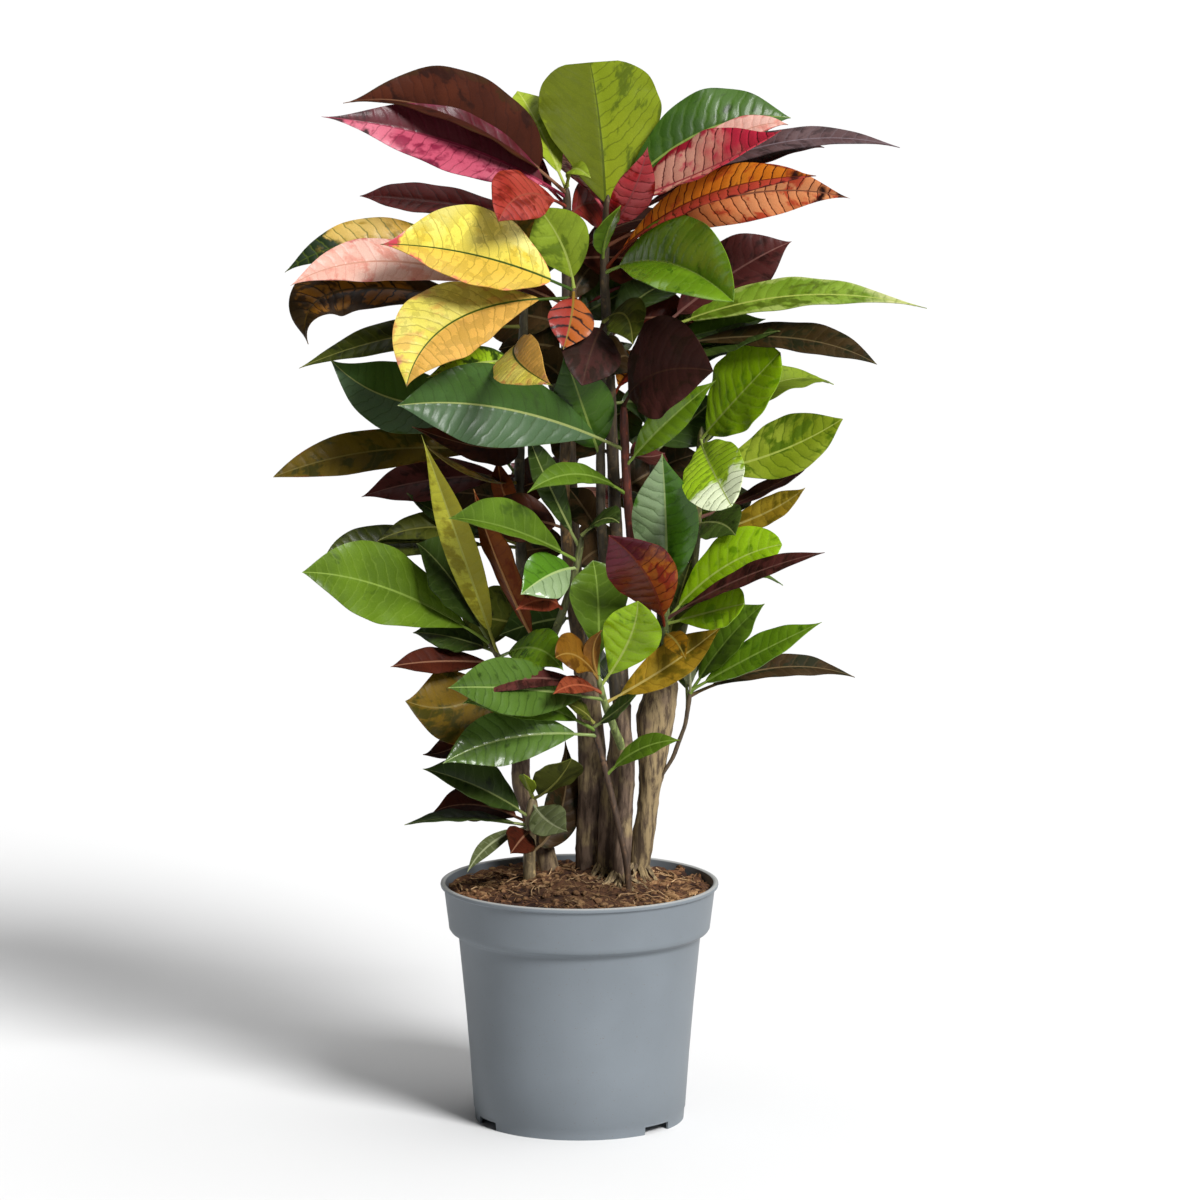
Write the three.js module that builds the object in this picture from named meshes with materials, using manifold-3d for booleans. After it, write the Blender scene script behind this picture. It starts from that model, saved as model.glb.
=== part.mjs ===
// Potted croton: a bushy house plant with several woody trunks in a round nursery pot.
// Millimetres, +Z up. The viewer stands at -Y, with +X to the right.
// The origin is the centre of the pot's foot, on the surface that the pot stands on.

import * as THREE from 'three';
import { mergeVertices } from 'three/addons/utils/BufferGeometryUtils.js';
import Module from 'manifold-3d';

const wasm = await Module();
wasm.setup();

// ---------------------------------------------------------------- driving dimensions

const RIM_RADIUS = 105;
const POT_HEIGHT = 182;
const FOOT_RADIUS = 79;
const WALL = 1.6;
const LIP_HEIGHT = 3.5;
const COLLAR_TOP_RADIUS = 102.5;
const COLLAR_FOOT_RADIUS = 98.7;
const COLLAR_FOOT = 147;
const NECK_RADIUS = 91.5;
const NECK = 142;
const CHANNEL_ROOF = 8;
const CHANNEL_RADIUS = 64.4;
const BASE_RECESS = 3;
const POT_SIDES = 32;

const NOTCH = { width: 26, height: 6, turns: [48, -62, 173] };

const SOIL_EDGE = 175;
const SOIL_MOUND = 8;
const SOIL_LUMP = 1.6;

const GAP = 0.3;
const FORK_GAP = 0.4;
const WOOD_SIDES = 8;

const BLADE = 0.75;
const PETIOLE = 0.12;
const PETIOLE_HALF = 1.2;
const PETIOLE_THICKNESS = 2;
const FOLD = 0.30;
const CUP = 0.12;
const RIPPLE = 0.03;
const RIPPLE_WAVES = 2.5;

// The leaves are laid out as they are seen from this point, about the plant's own middle plane.
const EYE = new THREE.Vector3(15.5, -5000, 1213);

// How far a tip may bend towards the eye or away from it, so that its blade clears other stems.
const DEPTH_BENDS = [0, -9, 9, -18, 18, -27, 27, -36, 36, -48, 48, -60, 60, -75, 75];
// How far the tip of a leaf behind may rise, in millimetres, and swing, in degrees, to do so.
const RISES = [0, 16, -16, 32, -32];
const SWINGS = [0, 13, -13, 26, -26, 39, -39];
const BACK_BENDS = SWINGS.flatMap((swing) => RISES.map((rise) => ({ rise, swing })));

// The leaves behind stand in this fan of degrees about straight back, by the golden turn.
const BACK_FAN = 120;
const GOLDEN_TURN = 137.508;

const COLOURS = {
  pot: '#969ca0',
  soil: '#6b422a',
  bark: '#8a7460',
  burgundy: '#4a201c',
  rose: '#c0484e',
  yellow: '#e0bc3a',
  olive: '#6e7a1e',
  deep: '#2f5a2a',
  lime: '#8fa61e',
  green: '#4c8a1c',
};

// ---------------------------------------------------------------- wood

// Each trunk: the middle of its wood from the buried foot upwards, and its radius there.
const TRUNKS = {
  trunk_left: {
    path: [[-16, 40, 120], [-24, 38, 190], [-45, 35, 249], [-44, 34, 285], [-39, 34, 318]],
    radii: [8, 8.5, 7.5, 7, 6],
  },
  trunk_centre_left: {
    path: [[8, 35, 120], [8, 34, 184], [10, 32, 284], [3, 31, 345]],
    radii: [11, 11.5, 10.5, 8.5],
  },
  trunk_centre: {
    path: [[24, 20, 120], [22, 19, 187], [24, 18, 246], [31, 15, 290], [33, 14, 322]],
    radii: [9, 9.5, 8.5, 8, 7],
  },
  trunk_front: {
    path: [[33, -6, 120], [31, -4, 190], [34, -3, 236], [36, -3, 266], [34, -3, 296], [28, -6, 328]],
    radii: [6, 7, 6.5, 6.5, 6, 5],
  },
  trunk_right: {
    path: [[42, 26, 120], [45, 25, 190], [53, 22, 246], [56, 21, 275], [57, 20, 306], [65, 21, 338]],
    radii: [8, 8, 8.5, 11.5, 15, 11.5],
  },
};

// Each leafy stem: the middle of its wood, its radius at foot and top, its colour, the number
// of leaves that it has behind, and its leaves as they are seen:
// [height of the root on the stem, tip x, tip z, tip depth y, middle x, middle z,
//  width, degrees that the blade leans over, kind, bluntness from 0, pointed, to 1, round,
//  and, where the blade is folded up by more or less than FOLD, its own fold].
// A bluntness below 0 puts the widest part of a blade near its foot.
const STEMS = {
  top_left: {
    path: [[2, 30, 335], [-4, 36, 420], [-8, 38, 520], [-10, 32, 620], [-9, 24, 706]],
    radii: [6, 3],
    colour: COLOURS.burgundy,
    behind: 6,
    leaves: [
      [700, -175, 770, -20, -95, 761, 56, 46, 'maroon', -0.6, 0.92],
      [697, -191, 760, -40, -90, 739, 52, 62, 'crimson', -0.2],
      [690, -60, 682, -75, -40, 702, 46, 46, 'scarlet', 0.5],
      [680, -163, 701, 20, -106, 696, 34, 35, 'wine', 0],
      [682, 27, 688, 70, 8, 696, 46, 75, 'wine', 0.1],
      [702, -46, 779, 70, -30, 752, 40, 10, 'lime', 0.2],
      [706, 9, 714, -14, -4, 721, 14, 40, 'lime', 0.2],
      [650, 58, 650, 75, 26, 655, 46, 65, 'maroon', 0],
      [600, 60, 640, 78, 25, 625, 44, 50, 'deep', 0],
      [600, -75, 612, 85, -42, 612, 50, 60, 'umber', 0],
      [645, -52, 645, 80, -30, 652, 44, 60, 'deep', 0],
      [520, 50, 545, 88, 22, 535, 46, 55, 'deep', 0],
      [480, -60, 470, 88, -35, 485, 46, 60, 'maroon', 0],
      [412, 38, 440, 78, 12, 434, 46, 60, 'umber', 0],
      [400, -50, 380, 78, -28, 398, 44, 60, 'umber', 0],
      [370, 30, 330, 82, 10, 355, 40, 60, 'deep', 0],
      [580, -60, 586, 70, -33, 590, 56, 60, 'umber', 0.2],
      [612, 14, 652, 55, 2, 640, 24, 60, 'umber', 0],
      [430, -48, 432, 70, -26, 436, 34, 60, 'umber', 0],
    ],
  },
  top_right: {
    path: [[32, 15, 305], [30, 36, 390], [26, 42, 480], [22, 36, 580], [18, 26, 650], [22, 18, 700]],
    radii: [6, 3],
    colour: COLOURS.rose,
    behind: 6,
    leaves: [
      [676, 8, 800, 75, 16, 746, 94, 0, 'fan', 1.0],
      [690, 150, 750, -60, 92, 719, 46, 48, 'rose', -0.2, 0.82],
      [672, 51, 738, -45, 38, 700, 30, 160, 'magenta', 0],
      [642, 176, 716, -95, 84, 697, 36, 48, 'orange', 0.2, 0.5],
      [660, 202, 699, -50, 116, 701, 44, 75, 'peach', -0.2],
      [680, 238, 737, 0, 134, 737, 30, 28, 'slate', 0],
      [675, 182, 737, 20, 122, 727, 28, 30, 'plum', 0],
      [690, 157, 759, 50, 88, 747, 60, 52, 'ivy', 0.2],
      [672, 155, 754, 10, 102, 739, 28, 42, 'blush', 0],
      [640, 115, 622, -95, 66, 651, 62, 50, 'bright', 0.7, 0.9],
      [650, 31, 694, -20, 20, 672, 24, 30, 'bright', 0.2],
      [600, 90, 604, 45, 57, 610, 44, 55, 'maroon', 0],
      [540, 85, 530, 60, 55, 545, 44, 60, 'deep', 0],
      [500, -25, 525, 80, 0, 520, 44, 60, 'umber', 0],
      [430, 80, 420, 70, 55, 432, 44, 60, 'umber', 0],
      [470, 90, 508, 75, 58, 496, 48, 60, 'umber', 0],
    ],
  },
  yellow_head: {
    path: [[4, 31, 330], [-6, 14, 400], [-12, 0, 480], [-8, -10, 560], [-4, -14, 636]],
    radii: [5.5, 3],
    colour: COLOURS.yellow,
    behind: 0,
    leaves: [
      [632, -148, 665, -75, -75, 656, 66, 60, 'yellow', -0.1, 0.58],
      [626, -129, 558, -110, -90, 609, 66, 38, 'amber', 0.2],
      [632, -12, 586, -50, -6, 610, 35, 20, 'stripe', 0.2],
      [634, -30, 692, -17, -12, 663, 46, 98, 'lime', 0.5],
      [618, -100, 648, -20, -52, 638, 42, -30, 'maroon', 0],
      [520, -70, 545, -10, -42, 540, 40, 55, 'deep', 0],
      [450, -75, 455, 0, -42, 458, 40, 60, 'maroon', 0],
      [380, -60, 370, 30, -30, 380, 40, 60, 'deep', 0],
      [560, -36, 580, 20, -20, 572, 32, 60, 'umber', 0],
    ],
  },
  upper_right: {
    path: [[66, 22, 335], [60, 34, 420], [56, 30, 500], [58, 18, 570], [60, 12, 602]],
    radii: [5, 3],
    colour: COLOURS.olive,
    behind: 5,
    leaves: [
      [598, 259, 617, -30, 158, 626, 37, 32, 'meadow', -0.6],
      [585, 222, 575, -40, 152, 595, 32, 35, 'umber', 0.3],
      [588, 139, 609, 20, 100, 600, 30, 40, 'green', 0],
      [600, 158, 667, 30, 112, 642, 50, 62, 'plum', 0],
      [570, 150, 600, -10, 105, 590, 34, 30, 'deep', 0],
      [505, 104, 552, 65, 80, 530, 44, 55, 'deep', 0],
    ],
  },
  mid_right: {
    path: [[28, -6, 322], [22, -4, 380], [16, -6, 460], [16, -8, 540], [18, -10, 610]],
    radii: [4.5, 2.8],
    colour: COLOURS.deep,
    behind: 1,
    leaves: [
      [606, 2, 559, -55, 10, 588, 46, 30, 'burgundy', 0.6],
      [608, 40, 590, -60, 34, 612, 34, 45, 'olive', 0.3],
      [505, -12, 586, -32, 3, 542, 46, 123, 'ivy', -0.2],
      [560, 40, 575, 25, 30, 580, 36, 50, 'umber', 0],
      [445, -8, 482, 25, 4, 466, 26, 60, 'umber', 0],
    ],
  },
  centre: {
    path: [[62, 20, 320], [52, 2, 380], [40, -8, 430], [35, -12, 490], [33, -14, 548]],
    radii: [4.5, 3],
    colour: COLOURS.burgundy,
    behind: 0,
    leaves: [
      [545, 100, 570, -85, 57, 568, 78, 75, 'burgundy', 0.5, 0.4],
      [512, -136, 544, -85, -53, 541, 62, 78, 'dusk', 0.3],
      [500, 102, 563, -60, 64, 530, 28, 85, 'bright', 0],
      [478, -39, 478, -70, -2, 492, 22, 40, 'green', 0],
      [510, 64, 508, 30, 50, 505, 32, 30, 'plum', 0],
    ],
  },
  right: {
    path: [[68, 22, 335], [82, 26, 390], [88, 26, 440], [90, 24, 500], [92, 22, 525]],
    radii: [4.5, 2.8],
    colour: COLOURS.lime,
    behind: 3,
    leaves: [
      [515, 150, 584, -20, 114, 545, 66, 70, 'spring', 0.9],
      [515, 114, 468, -115, 98, 499, 52, 40, 'sheen', 0.9],
      [490, 197, 534, 0, 146, 508, 48, 62, 'moss', 0.4],
      [455, 178, 508, 30, 145, 483, 26, 15, 'plum', 0],
      [440, 169, 482, 0, 138, 462, 24, 55, 'gold', 0],
      [470, 130, 478, 50, 112, 474, 30, 40, 'olive', 0],
      [450, 117, 446, -30, 105, 455, 38, 40, 'deep', 0.1],
    ],
  },
  right_low: {
    path: [[66, 20, 330], [65, 4, 350], [64, -6, 372], [66, -14, 396]],
    radii: [4, 2.5],
    colour: COLOURS.green,
    behind: 1,
    leaves: [
      [392, 62, 508, -60, 65, 450, 50, 180, 'polished', 0.1],
      [375, 22, 446, -85, 51, 415, 50, 150, 'sunset', 0.4],
      [382, 152, 439, -45, 106, 420, 46, 58, 'spring', 0.8],
      [384, 184, 433, -110, 124, 414, 22, 45, 'plum', 0],
      [380, 124, 394, -60, 100, 388, 36, 60, 'spring', 0.9],
      [372, 80, 352, -50, 72, 366, 18, 30, 'bronze', 0],
      [360, 84, 428, 32, 74, 396, 28, 60, 'olive', 0],
    ],
  },
  left_mid: {
    path: [[-38, 34, 305], [-30, 6, 345], [-14, -16, 385], [-2, -24, 425], [2, -26, 450]],
    radii: [4, 2.5],
    colour: COLOURS.deep,
    behind: 0,
    leaves: [
      [430, -98, 459, -80, -51, 450, 34, 50, 'green', 0.1, 0.9],
      [440, -39, 523, -40, -23, 484, 26, 70, 'deep', 0],
      [425, -44, 401, -70, -22, 416, 38, 58, 'polished', 0.2],
      [352, -79, 481, -40, -60, 424, 34, 0, 'russet', -0.2],
      [450, 30, 455, -50, 18, 458, 26, 30, 'deep', 0],
      [392, -48, 389, -60, -27, 397, 20, 60, 'brick', 0],
    ],
  },
  left: {
    path: [[-39, 33, 298], [-48, 24, 330], [-62, 16, 352], [-70, 12, 366]],
    radii: [4, 2.5],
    colour: COLOURS.green,
    behind: 0,
    leaves: [
      [362, -208, 418, -60, -140, 404, 62, 68, 'green', 0.3],
      [350, -118, 522, -80, -90, 440, 25, 150, 'chartreuse', -0.4],
      [360, -122, 440, -20, -96, 412, 54, 65, 'deep', 0.1],
      [345, -142, 346, -30, -104, 350, 24, 45, 'maroon', 0],
      [340, -131, 320, -20, -90, 317, 62, 65, 'olivebrown', 0.3],
      [325, -118, 279, 0, -85, 290, 28, 30, 'maroon', 0],
      [350, -12, 343, -60, -33, 360, 34, 50, 'bright', 0],
      [355, -125, 372, 10, -95, 368, 40, 30, 'deep', 0],
    ],
  },
  upper_left: {
    path: [[-38, 34, 310], [-42, 44, 380], [-46, 42, 460], [-44, 34, 540], [-42, 26, 600], [-40, 20, 640]],
    radii: [5, 3],
    colour: COLOURS.olive,
    behind: 5,
    leaves: [
      [625, -215, 634, -60, -140, 652, 36, 56, 'blush', 0],
      [635, -219, 644, -10, -142, 667, 38, 50, 'cream', 0],
      [610, -202, 590, -30, -172, 631, 49, 45, 'tiger', 0],
      [600, -209, 572, 0, -128, 597, 30, 40, 'olive', 0],
      [545, -186, 579, 10, -128, 546, 56, 62, 'dusk', 0.1],
      [500, -229, 490, -10, -140, 511, 34, 58, 'olivebrown', 0.5],
      [485, -163, 475, 30, -108, 488, 38, 50, 'plum', 0],
      [480, -114, 514, -50, -82, 492, 32, 15, 'bronze', 0],
      [450, -61, 504, 16, -56, 477, 18, -20, 'rust', 0],
      [430, -192, 428, -10, -142, 440, 30, 50, 'olive', 0],
      [432, -152, 441, 0, -104, 452, 26, 45, 'olive', 0],
      [440, -129, 478, 20, -95, 458, 26, 40, 'deep', 0],
      [572, -114, 565, -88, -75, 576, 26, 70, 'marbled', 0],
      [590, -20, 559, -150, -47, 579, 42, 45, 'amber', 0],
      [515, -125, 528, -30, -70, 512, 40, 45, 'maroon', 0],
      [462, -98, 478, 72, -70, 476, 36, 60, 'umber', 0],
      [370, -90, 385, 70, -63, 382, 52, 60, 'olive', 0],
    ],
  },
  low_centre: {
    path: [[34, -3, 280], [25, -14, 305], [18, -22, 325], [14, -30, 346]],
    radii: [3.5, 2.5],
    colour: COLOURS.lime,
    behind: 0,
    leaves: [
      [336, 44, 396, -65, 37, 366, 44, 140, 'spring', 0.6],
      [340, -18, 353, -70, -2, 354, 32, 65, 'caramel', 0.6],
      [340, 17, 374, -50, 10, 358, 16, 30, 'caramel', 0],
      [330, -20, 325, -95, -2, 332, 16, 50, 'brick', 0],
      [345, 10, 427, -15, 14, 394, 46, 20, 'green', 0.4],
      [322, 107, 377, -45, 66, 346, 32, 60, 'gold', 0],
      [332, -85, 321, -112, -38, 337, 18, 50, 'plum', 0],
      [325, -99, 330, -80, -44, 329, 46, 65, 'glossy', 0.1],
    ],
  },
  low_front: {
    path: [[38, -22, 150], [36, -22, 200], [28, -24, 235], [22, -24, 262], [14, -25, 296], [10, -26, 310]],
    radii: [2.6, 2.2],
    colour: COLOURS.green,
    behind: 0,
    leaves: [
      [298, -103, 272, -80, -50, 292, 42, 60, 'glossy', 0.1],
      [302, -88, 318, -60, -42, 320, 34, 55, 'green', 0],
      [268, 76, 290, -50, 46, 283, 20, 50, 'green', 0],
      [305, 43, 325, -45, 28, 312, 22, 40, 'deep', 0.1],
      [308, -10, 318, -40, 2, 312, 24, 40, 'olive', 0.3],
    ],
  },
  low_left: {
    path: [[-38, 12, 150], [-38, 12, 200], [-37, 10, 225], [-35, 8, 246]],
    radii: [5, 4.5],
    colour: COLOURS.green,
    behind: 0,
    leaves: [
      [228, -118, 268, -35, -75, 253, 40, 52, 'deep', 0, 0.6],
      [222, -132, 225, -20, -85, 230, 30, 5, 'deep', 0],
      [224, -111, 234, 30, -78, 240, 40, 35, 'maroon', 0],
      [218, -52, 203, -55, -44, 214, 26, 40, 'maroon', 0.2],
      [222, -85, 188, -65, -66, 211, 12, 40, 'pale', 0],
      [240, -9, 220, -45, -24, 228, 30, 40, 'pale', 0],
      [243, -6, 276, -30, -18, 258, 40, -10, 'olive', 0.3],
      [244, -42, 264, -25, -39, 256, 14, 20, 'lime', 0.2],
      [200, -11, 292, 42, -14, 236, 32, 60, 'umber', -0.3],
    ],
  },
  low_right: {
    path: [[56, 20, 250], [70, 16, 272], [80, 12, 300], [84, 10, 328]],
    radii: [1.8, 1.8],
    colour: COLOURS.deep,
    behind: 1,
    leaves: [
      [326, 182, 380, -50, 130, 354, 30, 55, 'bright', 0],
      [324, 139, 394, 0, 111, 366, 44, 40, 'green', 0],
      [322, 207, 338, 30, 148, 345, 26, 30, 'umber', 0],
      [326, 84, 354, -20, 83, 342, 12, 20, 'pale', 0],
    ],
  },
};

// ---------------------------------------------------------------- closed solids

// Joins equal points, so that a geometry's faces share their corners, and drops faces of no area.
function shared(geometry) {
  const bare = geometry.clone();
  bare.deleteAttribute('normal');
  bare.deleteAttribute('uv');
  const merged = mergeVertices(bare, 1e-4);
  const corners = merged.index.array;
  const kept = [];
  for (let i = 0; i < corners.length; i += 3) {
    const [a, b, c] = [corners[i], corners[i + 1], corners[i + 2]];
    if (a !== b && b !== c && c !== a) {
      kept.push(a, b, c);
    }
  }
  merged.setIndex(kept);
  return merged;
}

function enclosedVolume(geometry) {
  const points = geometry.attributes.position;
  const corners = geometry.index.array;
  const [a, b, c] = [new THREE.Vector3(), new THREE.Vector3(), new THREE.Vector3()];
  let sum = 0;
  for (let i = 0; i < corners.length; i += 3) {
    a.fromBufferAttribute(points, corners[i]);
    b.fromBufferAttribute(points, corners[i + 1]);
    c.fromBufferAttribute(points, corners[i + 2]);
    sum += a.dot(b.cross(c)) / 6;
  }
  return sum;
}

function solidOf(geometry) {
  const merged = shared(geometry);
  const corners = Uint32Array.from(merged.index.array);
  if (enclosedVolume(merged) < 0) {
    corners.reverse();
  }
  const vertProperties = Float32Array.from(merged.attributes.position.array);
  return new wasm.Manifold(new wasm.Mesh({ numProp: 3, vertProperties, triVerts: corners }));
}

function geometryOf(solid) {
  const mesh = solid.getMesh();
  const geometry = new THREE.BufferGeometry();
  geometry.setAttribute('position', new THREE.BufferAttribute(Float32Array.from(mesh.vertProperties), 3));
  geometry.setIndex(Array.from(mesh.triVerts));
  geometry.computeVertexNormals();
  return geometry;
}

// Skins rings of equal count into one closed body. The last ring may be a single point.
// The second half of each ring is split the mirrored way, so both faces of a blade match.
function skin(rings) {
  const points = rings.flat();
  const faces = [];
  const count = rings[0].length;
  for (let i = 1; i < count - 1; i += 1) {
    faces.push(0, i, i + 1);
  }
  for (let ring = 0; ring < rings.length - 1; ring += 1) {
    const here = ring * count;
    const next = here + count;
    for (let i = 0; i < count; i += 1) {
      const j = (i + 1) % count;
      if (rings[ring + 1].length === 1) {
        faces.push(here + j, here + i, next);
      } else if (i < count / 2) {
        faces.push(here + i, next + i, next + j, here + i, next + j, here + j);
      } else {
        faces.push(here + j, here + i, next + i, here + j, next + i, next + j);
      }
    }
  }
  const last = (rings.length - 1) * count;
  if (rings[rings.length - 1].length > 1) {
    for (let i = 1; i < count - 1; i += 1) {
      faces.push(last, last + i + 1, last + i);
    }
  }
  const geometry = new THREE.BufferGeometry();
  geometry.setAttribute('position', new THREE.Float32BufferAttribute(points.flatMap((p) => p.toArray()), 3));
  geometry.setIndex(faces);
  return solidOf(geometry);
}

// ---------------------------------------------------------------- pot and soil

// The inside of the pot from the rim down to the middle of its base.
function innerProfile(clearance) {
  return [
    [COLLAR_TOP_RADIUS - WALL - clearance, POT_HEIGHT - LIP_HEIGHT],
    [COLLAR_FOOT_RADIUS - WALL - clearance, COLLAR_FOOT + clearance],
    [NECK_RADIUS - WALL - clearance, NECK + WALL + clearance],
    [FOOT_RADIUS - WALL / 2 - clearance, CHANNEL_ROOF + WALL + clearance],
    [CHANNEL_RADIUS + WALL - clearance, CHANNEL_ROOF + WALL + clearance],
    [CHANNEL_RADIUS - clearance, BASE_RECESS + WALL + clearance],
    [0, BASE_RECESS + WALL + clearance],
  ];
}

function lathe(profile) {
  const outline = profile.map(([radius, height]) => new THREE.Vector2(radius, height));
  const geometry = new THREE.LatheGeometry(outline, POT_SIDES);
  geometry.rotateX(Math.PI / 2);
  return geometry;
}

function potSolid() {
  const underside = [
    [0, BASE_RECESS],
    [CHANNEL_RADIUS - 2 * WALL, BASE_RECESS],
    [CHANNEL_RADIUS - WALL / 2, CHANNEL_ROOF],
    [FOOT_RADIUS - WALL, CHANNEL_ROOF],
    [FOOT_RADIUS - WALL, 0],
  ];
  const outside = [
    [FOOT_RADIUS, 0],
    [NECK_RADIUS, NECK],
    [COLLAR_FOOT_RADIUS - WALL, COLLAR_FOOT - WALL],
    [COLLAR_FOOT_RADIUS, COLLAR_FOOT],
    [COLLAR_TOP_RADIUS, POT_HEIGHT - LIP_HEIGHT],
    [RIM_RADIUS - WALL / 3, POT_HEIGHT - LIP_HEIGHT],
    [RIM_RADIUS, POT_HEIGHT - LIP_HEIGHT / 2],
    [RIM_RADIUS - WALL / 3, POT_HEIGHT],
    [COLLAR_TOP_RADIUS - WALL, POT_HEIGHT],
  ];
  let pot = solidOf(lathe([...underside, ...outside, ...innerProfile(0)]));
  for (const turn of NOTCH.turns) {
    const block = new THREE.BoxGeometry(NOTCH.width, 6 * WALL, 2 * NOTCH.height);
    block.translate(0, -FOOT_RADIUS, 0);
    block.rotateZ(THREE.MathUtils.degToRad(turn));
    pot = pot.subtract(solidOf(block));
  }
  return pot;
}

// Lumps of coir and peat on the soil's top, highest round the trunks.
function soilTop(x, y) {
  const radius = Math.hypot(x, y);
  const mound = SOIL_MOUND * Math.exp(-((radius / 60) ** 2));
  const lumps = Math.sin(x * 0.21 + 1.3) * Math.cos(y * 0.17 - 0.6) + 0.6 * Math.sin(0.11 * (x - 2 * y));
  return SOIL_EDGE + mound + SOIL_LUMP * lumps;
}

function soilSolid() {
  const wall = innerProfile(GAP).slice(1).reverse();
  const edge = COLLAR_TOP_RADIUS - WALL - 2 * GAP;
  const tops = [edge, 82, 62, 42, 22, 0];
  const geometry = lathe([...wall, ...tops.map((radius) => [radius, SOIL_EDGE - 2])]);
  const points = geometry.attributes.position;
  for (let i = 0; i < points.count; i += 1) {
    if (Math.abs(points.getZ(i) - (SOIL_EDGE - 2)) < 0.01) {
      points.setZ(i, soilTop(points.getX(i), points.getY(i)));
    }
  }
  return solidOf(geometry);
}

// ---------------------------------------------------------------- stems

// A length of wood with level rings, grown on all sides and at both ends by `extra`.
function woodSolid(path, radii, extra) {
  const rings = path.map(([x, y, z], index) => {
    const ends = { 0: -extra, [path.length - 1]: extra };
    const height = z + (ends[index] ?? 0);
    return Array.from({ length: WOOD_SIDES }, (_, side) => {
      const turn = (2 * Math.PI * side) / WOOD_SIDES;
      const radius = radii[index] + extra;
      return new THREE.Vector3(x + radius * Math.cos(turn), y + radius * Math.sin(turn), height);
    });
  });
  return skin(rings);
}

function tapered([foot, top], count) {
  return Array.from({ length: count }, (_, index) => foot + ((top - foot) * index) / (count - 1));
}

// The largest body of a solid that a cut may have left in several.
function largest(solid) {
  const bodies = solid.decompose();
  return bodies.reduce((best, body) => (body.volume() > best.volume() ? body : best));
}

function pointOnPath(path, height) {
  let index = 1;
  while (index < path.length - 1 && height > path[index][2]) {
    index += 1;
  }
  const [a, b] = [new THREE.Vector3(...path[index - 1]), new THREE.Vector3(...path[index])];
  const share = THREE.MathUtils.clamp((height - a.z) / (b.z - a.z), 0, 1);
  return a.lerp(b, share);
}

// ---------------------------------------------------------------- leaves

// A point seen at (x, z) on the plant's middle plane, moved along the line of sight to depth y.
function onSight(x, z, y) {
  const share = (y - EYE.y) / -EYE.y;
  const point = new THREE.Vector3(x, 0, z).sub(EYE).multiplyScalar(share).add(EYE);
  point.y = y;
  return point;
}

// The outline of a blade: half its width at share s of its length, as a part of the widest half.
function outline(s, blunt) {
  const belly = Math.max(0, Math.sin(Math.PI * s ** (1 + 0.5 * blunt)));
  return belly ** (0.8 - 0.25 * blunt * blunt + (0.65 - 0.85 * blunt) * s * s);
}

// The sideways direction of a blade that leans over by its own angle about its chord.
function sideways(root, tip, lean) {
  const chord = tip.clone().sub(root).normalize();
  const level = chord.clone().cross(new THREE.Vector3(0, 0, 1));
  if (level.length() < 1e-3) {
    level.set(1, 0, 0);
  }
  level.normalize();
  const above = level.clone().cross(chord);
  const angle = THREE.MathUtils.degToRad(lean);
  const towardsEye = level.y <= 0 ? 1 : -1;
  const face = above.multiplyScalar(Math.cos(angle)).addScaledVector(level, Math.sin(angle) * towardsEye);
  return chord.cross(face);
}

// One blade on a bowed midrib, folded up along the rib, with its petiole sunk in the stem.
function leafSolid(leaf, extra) {
  const rib = new THREE.QuadraticBezierCurve3(leaf.root, leaf.pull, leaf.tip);
  const across = sideways(leaf.root, leaf.tip, leaf.lean);
  const rings = [];
  for (const share of leaf.stations) {
    const along = rib.getPoint(share);
    const heading = rib.getTangent(share);
    const side = across.clone().addScaledVector(heading, -across.dot(heading)).normalize();
    const up = side.clone().cross(heading);
    const s = Math.max(0, (share - PETIOLE) / (1 - PETIOLE));
    const blade = (leaf.width / 2) * outline(s, leaf.blunt);
    const half = Math.max(blade, PETIOLE_HALF) + extra;
    const thickness = (s > 0 ? BLADE : PETIOLE_THICKNESS) + 2 * extra;
    const wave = RIPPLE * blade * Math.sin(2 * Math.PI * RIPPLE_WAVES * s + leaf.width);
    const lift = (leaf.fold - CUP) * blade;
    const corner = (v, face) => along.clone()
      .addScaledVector(side, half * v)
      .addScaledVector(up, Math.abs(v) * (lift + wave * v) + (face * thickness) / 2);
    rings.push([
      corner(-1, 1), corner(0, 1), corner(1, 1),
      corner(1, -1), corner(0, -1), corner(-1, -1),
    ]);
  }
  rings.push([leaf.tip.clone()]);
  return skin(rings);
}

// The shares of the rib that carry a ring: a leaf no wider than NARROW has one fewer, and one
// whose tip stands behind the plant's middle by more than DEEP_INSIDE has half as many.
const NARROW = 36;
const DEEP_INSIDE = 15;
const LONG_STATIONS = [0, PETIOLE, 0.28, 0.46, 0.66, 0.86];
const SHORT_STATIONS = [0, PETIOLE, 0.34, 0.58, 0.82];
const BACK_STATIONS = [0, 0.32, 0.7];

function withMiddle(leaf, middle) {
  const ends = leaf.root.clone().add(leaf.tip).multiplyScalar(0.5);
  leaf.pull = middle.multiplyScalar(2).sub(ends);
  return leaf;
}

// A leaf of the table, with its tip bent `bend` away from the eye.
function seenLeaf(path, row, bend) {
  const [rootZ, tipX, tipZ, tipY, midX, midZ, width, lean, , blunt, fold = FOLD] = row;
  const root = pointOnPath(path, rootZ);
  const tip = onSight(tipX, tipZ, tipY + bend);
  const middle = onSight(midX, midZ, (root.y + tipY + bend) / 2);
  const outer = width > NARROW ? LONG_STATIONS : SHORT_STATIONS;
  const stations = tipY > DEEP_INSIDE ? BACK_STATIONS : outer;
  return withMiddle({ root, tip, width, lean, blunt, fold, stations }, middle);
}

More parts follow.
